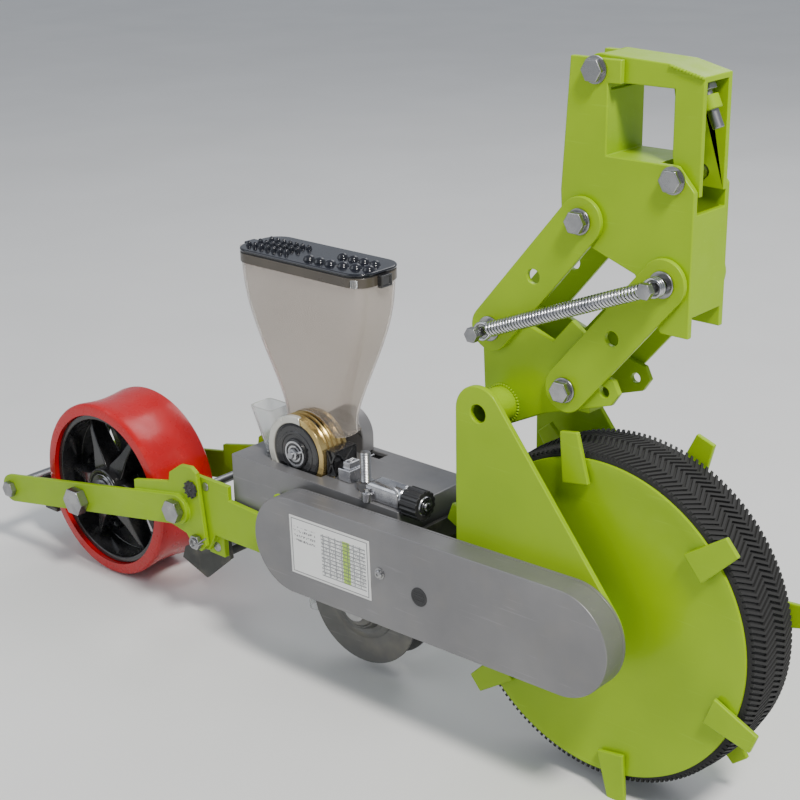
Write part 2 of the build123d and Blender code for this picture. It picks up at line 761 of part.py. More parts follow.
# ---------------------------------------------------------------- seed meter
with BuildPart() as meter_housing:
    ring(roller, meter_near + 4, meter_far, meter_radius, roller_radius + roller_gap)
    ring(roller, meter_far - 3, meter_far, roller_radius + roller_gap, roller_shaft_r + running)
    mouth_z = roller[1] + meter_radius - 9
    block(roller[0] - 24, roller[0] + 24, meter_near + 8, meter_far - 5, mouth_z - 14, mouth_z + 20, mode=Mode.SUBTRACT)
    outlet = roller[1] - meter_radius
    block(roller[0] - 9, roller[0] + 9, meter_near + 10, meter_far - 7, outlet - 5, outlet + 14, mode=Mode.SUBTRACT)
    for step in range(4):
        groove = meter_near + 10 + 7 * step
        with BuildSketch(plane_at(groove + 2)):
            with Locations(roller):
                Circle(meter_radius + 1)
                Circle(meter_radius - 2, mode=Mode.SUBTRACT)
        extrude(amount=3, mode=Mode.SUBTRACT)
    ring(roller, meter_near, meter_near + 4, meter_radius, roller_radius + roller_gap)
save(meter_housing, "meter_housing")

with BuildPart() as metering_roller:
    with BuildSketch(plane_at(meter_far - 8)):
        with Locations(roller):
            Circle(roller_radius)
            with PolarLocations(roller_radius, 12):
                Circle(5, mode=Mode.SUBTRACT)
            Circle(roller_shaft_r, mode=Mode.SUBTRACT)
    extrude(amount=meter_far - meter_near - 18)
    ring(roller, meter_far - 8, meter_far - 3.5, roller_radius, roller_shaft_r)
    ring(roller, meter_near + 1, meter_near + 10, roller_radius, roller_shaft_r)
    ring(roller, meter_near - 2, meter_near + 1, 15, roller_shaft_r)
save(metering_roller, "metering_roller")

with BuildPart() as roller_shaft:
    round_bar(roller, meter_near - 6, gear_centre_y + gear_width / 2 + 1, roller_shaft_r)
    round_bar(roller, meter_near - 10, meter_near - 6, 4)
save(roller_shaft, "roller_shaft")

with BuildPart() as brush_block:
    block(
        roller[0] + meter_radius + 1, roller[0] + meter_radius + 13, meter_near + 4, meter_far,
        deck, deck + 30,
    )
save(brush_block, "brush_block")

with BuildPart() as cleanout_spout:
    spout_x = roller[0] - meter_radius - 2
    with BuildSketch(Plane.XY.offset(deck)):
        with Locations((spout_x - 9, meter_near + 22)):
            RectangleRounded(16, 22, 4)
    with BuildSketch(Plane.XY.offset(deck + 52)):
        with Locations((spout_x - 19, meter_near + 22)):
            RectangleRounded(34, 32, 6)
    loft()
    with BuildSketch(Plane.XY.offset(deck + 2.5)):
        with Locations((spout_x - 9, meter_near + 22)):
            RectangleRounded(12, 18, 2.5)
    with BuildSketch(Plane.XY.offset(deck + 53)):
        with Locations((spout_x - 19, meter_near + 22)):
            RectangleRounded(30, 28, 4.5)
    loft(mode=Mode.SUBTRACT)
save(cleanout_spout, "cleanout_spout")

# ---------------------------------------------------------------- hopper and lid
hopper_x = roller[0] + 2
neck_z = roller[1] + meter_radius
hopper_height = hopper_mouth - neck_z
# share of the height, and share of the growth from the neck to the mouth
hopper_levels = ((0.0, 0.0), (0.16, 0.21), (0.33, 0.48), (0.52, 0.75), (0.71, 0.94), (0.88, 1.0), (1.0, 1.0))


def hopper_body(inset, z_low, z_high):
    """Lofted body of the hopper, inset by a wall thickness; its ends may be moved outwards."""
    for share, growth in hopper_levels:
        level = neck_z + share * hopper_height
        if share == 0.0:
            level = z_low
        if share == 1.0:
            level = z_high
        length = hopper_neck + growth * (hopper_length - 6 - hopper_neck)
        width = neck_width + growth * (hopper_width - 6 - neck_width)
        corner = 8 + 12 * growth
        with BuildSketch(Plane.XY.offset(level)) as section:
            with Locations((hopper_x, 0)):
                RectangleRounded(length - 2 * inset, width - 2 * inset, corner - inset)
        yield section.sketch


with BuildPart() as hopper:
    loft(list(hopper_body(0, neck_z, hopper_mouth)), ruled=True)
    loft(list(hopper_body(hopper_wall, neck_z - 0.5, hopper_mouth + 0.5)), ruled=True, mode=Mode.SUBTRACT)
    neck_low = neck_z - neck_drop
    with BuildSketch(Plane.XY.offset(neck_low)):
        with Locations((hopper_x, 0)):
            RectangleRounded(hopper_neck, neck_width, 8)
            RectangleRounded(hopper_neck - 2 * hopper_wall, neck_width - 2 * hopper_wall, 5, mode=Mode.SUBTRACT)
    extrude(amount=neck_drop)
    shelf = hopper_neck / 2 - 1
    block(hopper_x - shelf, hopper_x + shelf, meter_far, neck_width / 2 - 1, neck_low, neck_low + hopper_wall)
    round_bar(roller, meter_near - 1, meter_far + seat_gap, meter_radius + seat_gap, mode=Mode.SUBTRACT)
    hinge_x = hopper_x - hopper_length / 2 - 5
    hinge_z = hopper_mouth - 3
    for low, high in ((-14, -8), (8, 14)):
        block(hinge_x - 4, hopper_x - hopper_length / 2 + 4, low, high, hinge_z - 12, hinge_z + 3)
    round_bar((hinge_x, hinge_z), -20, 20, 2 + running, mode=Mode.SUBTRACT)
save(hopper, "hopper")

with BuildPart() as hopper_lid:
    lid_top = hopper_mouth + lid_skin + lid_gap
    with BuildSketch(Plane.XY.offset(lid_top - lid_height)):
        with Locations((hopper_x, 0)):
            RectangleRounded(hopper_length, hopper_width, 23)
    extrude(amount=lid_height)
    with BuildSketch(Plane.XY.offset(lid_top - lid_height)):
        with Locations((hopper_x, 0)):
            RectangleRounded(hopper_length - 5, hopper_width - 5, 20.5)
    extrude(amount=lid_height - lid_skin, mode=Mode.SUBTRACT)
    block(hinge_x, hinge_x + 20, -hopper_width, hopper_width, hinge_z - 20, lid_top - lid_skin, mode=Mode.SUBTRACT)
    block(hinge_x - 3.5, hinge_x + 7, -7.5, 7.5, hinge_z - 3.5, lid_top)
    round_bar((hinge_x, hinge_z), -20, 20, 2 + running, mode=Mode.SUBTRACT)
    lid_front = hopper_x + hopper_length / 2
    block(lid_front - 0.5, lid_front + 6, -9, 9, lid_top - lid_height - 4, lid_top - 3)
save(hopper_lid, "hopper_lid")

with BuildPart() as frame_pins:
    round_bar(idler, gear_centre_y - gear_width / 2 - 3, base_half + 1, idler_pin_r)
    round_bar(tie_rod, -side_half - arm_gap, side_half + arm_gap, 5)
    round_bar(cover_pivot, -side_inner, side_inner, 6)
    round_bar((hinge_x, hinge_z), -15, 15, 2)
save(frame_pins, "frame_pins")

# ---------------------------------------------------------------- meter clamp, stud and knob
stud_at = (base_x[1] - 66, -34)
clamp_x = (base_x[1] - 50, base_x[1] - 4)
knob_y = -42.0
knob_z = deck + 8
with BuildPart() as deck_fittings:
    block(*clamp_x, knob_y - 12, knob_y + 14, deck, deck + 17)
    with BuildSketch(Plane.YZ.offset(clamp_x[0] - 1)):
        with Locations((knob_y, knob_z)):
            Circle(5 + running)
    extrude(amount=clamp_x[1] - clamp_x[0] + 2, mode=Mode.SUBTRACT)
    fillet(deck_fittings.edges().filter_by(Axis.Z), 4)
    for radius, height, sides in ((9.5, 9, 6), (6, 42, 0)):
        with BuildSketch(Plane.XY.offset(deck)):
            with Locations(stud_at):
                if sides:
                    RegularPolygon(radius, sides, major_radius=False)
                else:
                    Circle(radius)
        extrude(amount=height)
save(deck_fittings, "deck_fittings")

with BuildPart() as adjust_knob:
    with BuildSketch(Plane.YZ.offset(clamp_x[0] - 4)):
        with Locations((knob_y, knob_z)):
            Circle(5)
    extrude(amount=clamp_x[1] - clamp_x[0] + 9)
    with BuildSketch(Plane.YZ.offset(clamp_x[1] + 5)):
        with Locations((knob_y, knob_z)):
            Circle(16)
            with PolarLocations(16.6, 14):
                Circle(2, mode=Mode.SUBTRACT)
    extrude(amount=22)
save(adjust_knob, "adjust_knob")

# ---------------------------------------------------------------- seed tube and openers
with BuildPart() as opener_frame:
    top = axle[1] - base_drop
    reach = disc_radius - 8
    block(opener[0] - reach, opener[0] + reach, -side_inner, side_inner, top - plate, top)
    for low, high in both_sides(5, disc_side + 12):
        block(opener[0] - reach + 8, opener[0] + reach - 8, low, high, top - plate - 1, top + 1, mode=Mode.SUBTRACT)
    block(opener[0] - 34, opener[0] + 18, -4, 4, opener[1] - 18, top - plate)
save(opener_frame, "opener_frame")

meter_middle = (meter_near + meter_far) / 2
tube_x = opener[0] - disc_radius - 18
funnel_low = deck - 70
with BuildPart() as seed_tube:
    for grow, mode in ((2.0, Mode.ADD), (0.0, Mode.SUBTRACT)):
        lip = 0.5 if grow == 0 else 0.0
        with BuildSketch(Plane.XY.offset(roller[1] - meter_radius - seat_gap + lip)) as mouth:
            with Locations((roller[0], meter_middle)):
                Circle(13 + grow)
        with BuildSketch(Plane.XY.offset(funnel_low)) as throat:
            with Locations((tube_x, 0)):
                Circle(10 + grow)
        loft([mouth.sketch, throat.sketch], mode=mode)
        extrude(throat.sketch, amount=-tube_drop - lip, mode=mode)
save(seed_tube, "seed_tube")


def opener_plane(sign, along):
    """Plane square to one opener disc's axis, at a distance along it from the disc."""
    toe = radians(disc_toe)
    across = Vector(sin(toe), sign * cos(toe), 0)
    start = Vector(opener[0], sign * disc_side, opener[1]) + across * along
    return Plane(origin=start, x_dir=(cos(toe), -sign * sin(toe), 0), z_dir=across)


for side, sign in (("right", -1), ("left", 1)):
    with BuildPart() as opener_disc:
        with BuildSketch(opener_plane(sign, 0)):
            Circle(disc_radius)
            Circle(8 + running, mode=Mode.SUBTRACT)
        extrude(amount=disc_sheet)
        with BuildSketch(opener_plane(sign, disc_sheet)):
            Circle(22)
            Circle(8 + running, mode=Mode.SUBTRACT)
        extrude(amount=12)
        chamfer(opener_disc.faces().sort_by(Axis.Y)[0 if sign < 0 else -1].outer_wire().edges(), 2)
    save(opener_disc, f"opener_disc_{side}")

with BuildPart() as opener_stubs:
    for sign in (-1, 1):
        with BuildSketch(opener_plane(sign, -disc_side + 1)):
            Circle(8)
        extrude(amount=disc_side + disc_sheet + 14)
        with BuildSketch(opener_plane(sign, disc_sheet + 12.5)):
            Circle(14)
        extrude(amount=4)
    block(opener[0] - 20, opener[0] + 20, -4, 4, opener[1] - 20, opener[1] + 20, mode=Mode.SUBTRACT)
save(opener_stubs, "opener_stubs")

# ---------------------------------------------------------------- coverer
with BuildPart() as coverer:
    for low, high in both_sides(cover_inner, 5):
        with BuildSketch(plane_at(high)):
            with BuildLine():
                Polyline(
                    (cover_pivot[0] + 12, cover_pivot[1] + 8),
                    (cover_pivot[0] - 6, cover_pivot[1] + 12),
                    (cover_pivot[0] - 66, cover_pivot[1] - 22),
                    (cover_pivot[0] - 72, cover_pivot[1] - 38),
                    (cover_pivot[0] - 30, cover_pivot[1] - 52),
                    (cover_pivot[0] + 14, cover_pivot[1] - 14),
                    close=True,
                )
            make_face()
            with Locations(cover_pivot):
                Circle(6 + running, mode=Mode.SUBTRACT)
        extrude(amount=high - low)
    round_bar((cover_pivot[0] - 28, cover_pivot[1] - 28), -cover_inner, cover_inner, 7)
save(coverer, "coverer")

# ---------------------------------------------------------------- press arms
clamp_point = from_axle((-555, -32))
with BuildPart() as press_arms:
    for sign in (-1, 1):
        low, high = sorted((sign * arm_side, sign * (arm_side + plate)))
        with BuildSketch(plane_at(high)):
            with BuildLine():
                Polyline(
                    (arm_pivot[0] + 13, arm_pivot[1] - 3),
                    (arm_pivot[0] + 3, arm_pivot[1] + 84),
                    (arm_pivot[0] - 6, arm_pivot[1] + 90),
                    (arm_pivot[0] - 24, arm_pivot[1] + 88),
                    (arm_pivot[0] - 44, arm_pivot[1] + 74),
                    (arm_pivot[0] - 46, arm_pivot[1] + 62),
                    (arm_pivot[0] - 110, arm_pivot[1] + 47),
                    (arm_pivot[0] - 110, arm_pivot[1] + 20),
                    (arm_pivot[0] - 20, arm_pivot[1] + 4),
                    (arm_pivot[0] - 10, arm_pivot[1] - 9),
                    (arm_pivot[0] + 4, arm_pivot[1] - 12),
                    close=True,
                )
            make_face()
            with Locations(arm_pivot):
                Circle(5 + running, mode=Mode.SUBTRACT)
        extrude(amount=high - low)
        low, high = sorted((sign * (arm_side + plate), sign * (arm_side + 2 * plate)))
        with BuildSketch(plane_at(high)):
            with Locations(clamp_point, tail):
                Circle(arm_bar / 2)
            make_hull()
        extrude(amount=high - low)
        for place, radius in (
            (press, press_axle_d / 2 + running),
            (clamp_point, 8 + bolt_play),
            (tail, 6 + bolt_play),
        ):
            round_bar(place, sign * arm_side - 13, sign * arm_side + 13, radius, mode=Mode.SUBTRACT)
save(press_arms, "press_arms")

arm_face = arm_side + 2 * plate
with BuildPart() as arm_pivot_pins:
    for sign in (-1, 1):
        low, high = sorted((sign * side_inner, sign * (arm_side + plate + 1)))
        round_bar(arm_pivot, low, high, 5)
        low, high = sorted((sign * (arm_side + plate + 1), sign * (arm_side + plate + 7)))
        hexagon(arm_pivot, low, high, 16)
save(arm_pivot_pins, "arm_pivot_bolts")

with BuildPart() as arm_clamp_bolts:
    for sign in (-1, 1):
        bolt(clamp_point, sign * arm_face, sign * arm_side, 16)
save(arm_clamp_bolts, "arm_clamp_bolts")

with BuildPart() as press_axle:
    bolt(press, -arm_face, arm_face + 18, press_axle_d)
    nut(press, arm_face, 1, press_axle_d)
    for low, high in both_sides(press_half + 0.3, arm_side - press_half - 0.3):
        ring(press, low, high, 15, press_axle_d / 2 + running)
save(press_axle, "press_axle")

with BuildPart() as tail_bar:
    bolt(tail, -arm_face, -arm_side, 12)
    bolt(tail, arm_face, arm_side, 12)
    round_bar(tail, -arm_side, arm_side, 9)
save(tail_bar, "tail_bar")

with BuildPart() as press_core:
    ring(press, -press_half + 6, press_half - 6, press_core_radius, press_core_radius - 7)
    ring(press, -press_half, press_half, 28, 20)
    with BuildSketch(plane_at(6)) as spokes:
        with Locations(press):
            Circle(press_core_radius - 3)
            Circle(24, mode=Mode.SUBTRACT)
            with PolarLocations(58, 6):
                Circle(22, mode=Mode.SUBTRACT)
    extrude(spokes.sketch, amount=12)
save(press_core, "press_wheel_core")

with BuildPart() as press_tread:
    with BuildSketch(Plane(origin=(press[0], 0, press[1]), x_dir=(1, 0, 0), z_dir=(0, 0, 1))):
        with BuildLine():
            Polyline(
                (press_radius, press_half), (press_core_radius, press_half),
                (press_core_radius, -press_half), (press_radius, -press_half),
            )
            ThreePointArc((press_radius, -press_half), (press_radius - press_waist, 0), (press_radius, press_half))
        make_face()
    revolve(axis=Axis((press[0], 0, press[1]), (0, 1, 0)))
save(press_tread, "press_tread")

with BuildPart() as press_bearings:
    for sign in (-1, 1):
        low, high = sorted((sign * (press_half - 12), sign * press_half))
        ring(press, low, high, 20, press_axle_d / 2 + running)
save(press_bearings, "press_bearings")

with BuildPart() as scraper:
    scraper_tip = press[0] - press_radius - 1.5
    block(tail[0] + 7, tail[0] + 12, -36, 36, tail[1] - 40, tail[1] + 6)
    block(tail[0] + 12, scraper_tip, -36, 36, tail[1] - 40, tail[1] - 35)
    round_bar(tail, -40, 40, 9, mode=Mode.SUBTRACT)
save(scraper, "scraper")
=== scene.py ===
"""Looks of a single-row corn planter unit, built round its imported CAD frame.

Lengths in the sub-assembly classes are in millimetres and are turned into metres where a mesh is made.
"""
import json
import logging
from dataclasses import dataclass, field
from enum import Enum
from math import cos, pi, radians, sin
from typing import Callable, Iterable, Sequence

import bpy
from mathutils import Matrix, Quaternion, Vector

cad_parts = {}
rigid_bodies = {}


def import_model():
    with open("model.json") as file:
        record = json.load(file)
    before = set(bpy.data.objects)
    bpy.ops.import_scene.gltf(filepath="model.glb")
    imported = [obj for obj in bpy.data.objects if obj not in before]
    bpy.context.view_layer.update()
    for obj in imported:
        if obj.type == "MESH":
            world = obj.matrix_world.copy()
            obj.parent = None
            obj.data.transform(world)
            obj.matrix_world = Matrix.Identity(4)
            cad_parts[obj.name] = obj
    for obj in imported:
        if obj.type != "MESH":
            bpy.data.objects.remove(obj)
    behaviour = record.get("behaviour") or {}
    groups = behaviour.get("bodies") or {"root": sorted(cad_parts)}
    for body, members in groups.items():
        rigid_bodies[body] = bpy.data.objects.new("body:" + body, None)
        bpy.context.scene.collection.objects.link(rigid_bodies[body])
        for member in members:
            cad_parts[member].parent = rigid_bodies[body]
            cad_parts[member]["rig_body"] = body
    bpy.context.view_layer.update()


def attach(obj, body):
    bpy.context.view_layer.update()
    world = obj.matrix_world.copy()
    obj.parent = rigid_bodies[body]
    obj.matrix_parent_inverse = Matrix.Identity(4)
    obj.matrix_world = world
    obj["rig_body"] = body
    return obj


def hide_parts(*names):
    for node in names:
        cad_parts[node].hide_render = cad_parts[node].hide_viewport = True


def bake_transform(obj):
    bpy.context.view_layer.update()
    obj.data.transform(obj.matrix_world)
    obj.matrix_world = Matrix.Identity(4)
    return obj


LOG = logging.getLogger("planter")
MM = 0.001
MERGE_GAP = 1e-6
FLAT_ANGLE = 0.6
Point = tuple[float, float, float]
Place = tuple[float, float]
Colour = tuple[float, float, float]
Obj = bpy.types.Object
Socket = bpy.types.NodeSocket


# ------------------------------------------------------------------ mesh bench
def select_only(*objs: Obj) -> None:
    """Select these objects and nothing else; the last becomes active.

    Args:
        objs: the objects to select.
    """
    for other in bpy.context.view_layer.objects:
        other.select_set(False)
    for obj in objs:
        obj.select_set(True)
    bpy.context.view_layer.objects.active = objs[-1] if objs else None


def editing(obj: Obj, kind: str = "VERT", chosen: str = "SELECT") -> None:
    """Open obj in edit mode.

    Args:
        obj: the mesh object.
        kind: what is picked: VERT, EDGE or FACE.
        chosen: SELECT for all of it, DESELECT for none.
    """
    select_only(obj)
    bpy.ops.object.mode_set(mode="EDIT")
    bpy.ops.mesh.select_mode(type=kind)
    bpy.ops.mesh.select_all(action=chosen)


def done() -> None:
    """Leave edit mode."""
    bpy.ops.object.mode_set(mode="OBJECT")


def pick_faces(obj: Obj, test: Callable[[Vector, Vector], bool]) -> None:
    """Select the faces whose centre and normal pass a test; obj is left in edit mode.

    Args:
        obj: the mesh object.
        test: takes a face's centre and its normal.
    """
    editing(obj, "FACE", "DESELECT")
    done()
    for face in obj.data.polygons:
        face.select = bool(test(face.center, face.normal))
    bpy.ops.object.mode_set(mode="EDIT")


def drop_faces(obj: Obj, test: Callable[[Vector, Vector], bool]) -> None:
    """Delete the faces whose centre and normal pass a test.

    Args:
        obj: the mesh object.
        test: takes a face's centre and its normal.
    """
    pick_faces(obj, test)
    bpy.ops.mesh.delete(type="FACE")
    done()


def extrude(x: float, y: float, z: float) -> None:
    """Extrude what is selected by millimetres."""
    bpy.ops.mesh.extrude_region_move(TRANSFORM_OT_translate={"value": (x * MM, y * MM, z * MM)})


def inset(width: float) -> None:
    """Inset the selected faces by millimetres."""
    bpy.ops.mesh.inset(thickness=width * MM)


def settle(obj: Obj) -> Obj:
    """Put obj's place into its mesh, so that its object sits at the origin.

    Args:
        obj: the object.

    Returns:
        The same object.
    """
    select_only(obj)
    bpy.ops.object.transform_apply(location=True, rotation=True, scale=True)
    return obj


def added(name: str) -> Obj:
    """Name and settle the primitive that was just added.

    Args:
        name: its new name.

    Returns:
        The primitive.
    """
    obj = bpy.context.object
    obj.name = name
    return settle(obj)


def tidy_shell(obj: Obj) -> Obj:
    """Merge obj's doubles and point its faces outwards.

    Args:
        obj: the mesh object.

    Returns:
        The same object.
    """
    editing(obj)
    bpy.ops.mesh.remove_doubles(threshold=MERGE_GAP)
    bpy.ops.mesh.normals_make_consistent(inside=False)
    done()
    return obj


def smooth(obj: Obj, angle: float = 32.0) -> Obj:
    """Shade obj smooth where its faces meet under an angle.

    Args:
        obj: the mesh object.
        angle: the limit in degrees.

    Returns:
        The same object.
    """
    select_only(obj)
    bpy.ops.object.shade_smooth_by_angle(angle=radians(angle))
    return obj


def applied(obj: Obj, kind: str, **settings: object) -> Obj:
    """Add a modifier to obj and apply it.

    Args:
        obj: the mesh object.
        kind: Blender's name of the modifier.
        settings: properties to set on it.

    Returns:
        The same object.
    """
    modifier = obj.modifiers.new(kind, kind)
    for key, value in settings.items():
        setattr(modifier, key, value)
    select_only(obj)
    bpy.ops.object.modifier_apply(modifier=modifier.name)
    return obj


def bevelled(obj: Obj, width: float, segments: int, limit: float) -> Obj:
    """Round the edges of obj that are sharper than a limit in degrees, by millimetres."""
    return applied(obj, "BEVEL", width=width * MM, segments=segments, limit_method="ANGLE",
                   angle_limit=radians(limit), use_clamp_overlap=False)


def walled(obj: Obj, thickness: float) -> Obj:
    """Give the shell obj a wall that grows inwards by millimetres."""
    return applied(obj, "SOLIDIFY", thickness=thickness * MM, offset=-1)


def soften(obj: Obj, width: float, segments: int = 2, limit: float = 40.0) -> Obj:
    """Round the edges of obj and shade it.

    Args:
        obj: the mesh object.
        width: width of the rounding in millimetres.
        segments: number of steps across it.
        limit: smallest angle between faces that is rounded, in degrees.

    Returns:
        The same object.
    """
    bevelled(smooth(obj, limit), width, segments, limit)
    return applied(obj, "WEIGHTED_NORMAL", keep_sharp=True)


def cut_off(obj: Obj, at: Sequence[float], facing: Point, **choices: bool) -> Obj:
    """Cut obj by a plane and drop one side of it.

    Args:
        obj: the mesh object.
        at: point on the plane, in millimetres.
        facing: the plane's normal.
        choices: Blender's own, such as clear_outer and use_fill.

    Returns:
        The same object.
    """
    editing(obj)
    bpy.ops.mesh.bisect(plane_co=Vector(at) * MM, plane_no=facing, **choices)
    done()
    return obj


def boxed(name: str, low: Point, high: Point) -> Obj:
    """Box between two corners in millimetres, to be shaped further.

    Args:
        name: name of the piece.
        low: lowest corner.
        high: highest corner.

    Returns:
        The new object, with its place in its mesh.
    """
    select_only()
    centre = [(a + b) / 2 * MM for a, b in zip(low, high)]
    bpy.ops.mesh.primitive_cube_add(size=1, location=centre)
    bpy.context.object.scale = [(b - a) * MM for a, b in zip(low, high)]
    return added(name)


def turned(name: str, centre: Point, rings: Sequence[Place], steps: int = 72, loop: bool = False) -> Obj:
    """Turned piece about an axis along Y through centre.

    Args:
        name: name of the piece.
        centre: point on the axis, in millimetres.
        rings: radius and distance along the axis of each ring, in millimetres.
        steps: number of sides.
        loop: whether the last ring closes on the first, as on a hollow ring; if not, both ends are capped.

    Returns:
        The new object.
    """
    select_only()
    radius, along = rings[0]
    bpy.ops.mesh.primitive_circle_add(
        vertices=steps, radius=radius * MM, fill_type="NOTHING" if loop else "NGON",
        location=(Vector(centre) + Vector((0, along, 0))) * MM, rotation=(pi / 2, 0, 0),
    )
    obj = added(name)
    editing(obj)
    path = list(rings) + ([rings[0]] if loop else [])
    for before, after in zip(path, path[1:]):
        extrude(0, after[1] - before[1], 0)
        grow = after[0] / before[0]
        bpy.ops.transform.resize(value=(grow, 1, grow), center_override=Vector(centre) * MM)
    done()
    return smooth(tidy_shell(obj))


def hoop(name: str, at: Point, radius: float, wire: float, steps: int) -> Obj:
    """Wire ring about an axis along Y.

    Args:
        name: name of the ring.
        at: its centre, in millimetres.
        radius: its radius, in millimetres.
        wire: radius of the wire, in millimetres.
        steps: number of steps round it.

    Returns:
        The ring.
    """
    select_only()
    bpy.ops.mesh.primitive_torus_add(
        major_radius=radius * MM, minor_radius=wire * MM, major_segments=steps, minor_segments=8,
        location=Vector(at) * MM, rotation=(pi / 2, 0, 0),
    )
    return smooth(added(name), 70)


def turn_about(obj: Obj, centre: Point, axis: str, degrees: float) -> Obj:
    """Turn obj's mesh about an axis through centre.

    Args:
        obj: the mesh object.
        centre: point on the axis, in millimetres.
        axis: letter of the axis.
        degrees: angle of the turn.

    Returns:
        The same object.
    """
    there = Matrix.Translation(Vector(centre) * MM)
    obj.data.transform(there @ Matrix.Rotation(radians(degrees), 4, axis) @ there.inverted())
    return obj


def copy_of(obj: Obj, name: str) -> Obj:
    """Copy obj with a mesh of its own.

    Args:
        obj: the object to copy.
        name: name of the copy.

    Returns:
        The copy.
    """
    twin = obj.copy()
    twin.data = obj.data.copy()
    twin.name = name
    bpy.context.scene.collection.objects.link(twin)
    return twin


def moved(obj: Obj, by: Point) -> Obj:
    """Move obj's mesh by millimetres along X, Y and Z."""
    obj.data.transform(Matrix.Translation(Vector(by) * MM))
    return obj


def joined(name: str, objs: Sequence[Obj]) -> Obj:
    """Join mesh objects into one piece.

    Args:
        name: name of the joined piece.
        objs: the objects.

    Returns:
        The joined object.
    """
    select_only(*reversed(list(objs)))
    if len(objs) > 1:
        bpy.ops.object.join()
    obj = bpy.context.object
    obj.name = name
    return obj


def around(name: str, one: Obj, centre: Point, count: int) -> Obj:
    """Copies of one piece spaced evenly round an axis along Y, joined into one piece.

    Args:
        name: name of the joined piece.
        one: the piece that repeats.
        centre: point on the axis, in millimetres.
        count: number of pieces.

    Returns:
        The joined object.
    """
    copies = [one]
    for step in range(1, count):
        copies.append(turn_about(copy_of(one, f"{name}_{step}"), centre, "Y", 360 * step / count))
    return joined(name, copies)


def from_cad(node: str, name: str) -> Obj:
    """Editable copy of a CAD node: doubles merged and flat faces joined up.

    Args:
        node: name of the CAD node.
        name: name of the copy.

    Returns:
        The copy, riding on nothing yet.
    """
    twin = bpy.data.objects.new(name, bpy.data.objects[node].data.copy())
    bpy.context.scene.collection.objects.link(twin)
    select_only(twin)
    bpy.ops.mesh.customdata_custom_splitnormals_clear()
    editing(twin)
    bpy.ops.mesh.remove_doubles(threshold=2 * MERGE_GAP)
    bpy.ops.mesh.dissolve_limited(angle_limit=radians(FLAT_ANGLE))
    done()
    twin.data.materials.clear()
    return twin


# ------------------------------------------------------------------ materials
COAT_ROUGHNESS = 0.08
STRIPES_BEFORE_ZERO = 40.0


class Grain(Enum):
    """Fine surface relief of a finish."""

    ORANGE_PEEL = "orange peel"
    CAST = "cast"
    BRUSHED = "brushed"
    MOULDED = "moulded"


GRAIN_NOISE = {
    Grain.ORANGE_PEEL: (520.0, 2.0, (1.0, 1.0, 1.0)),
    Grain.CAST: (1100.0, 6.0, (1.0, 1.0, 1.0)),
    Grain.BRUSHED: (700.0, 4.0, (0.06, 1.0, 1.0)),
    Grain.MOULDED: (1500.0, 3.0, (1.0, 1.0, 1.0)),
}


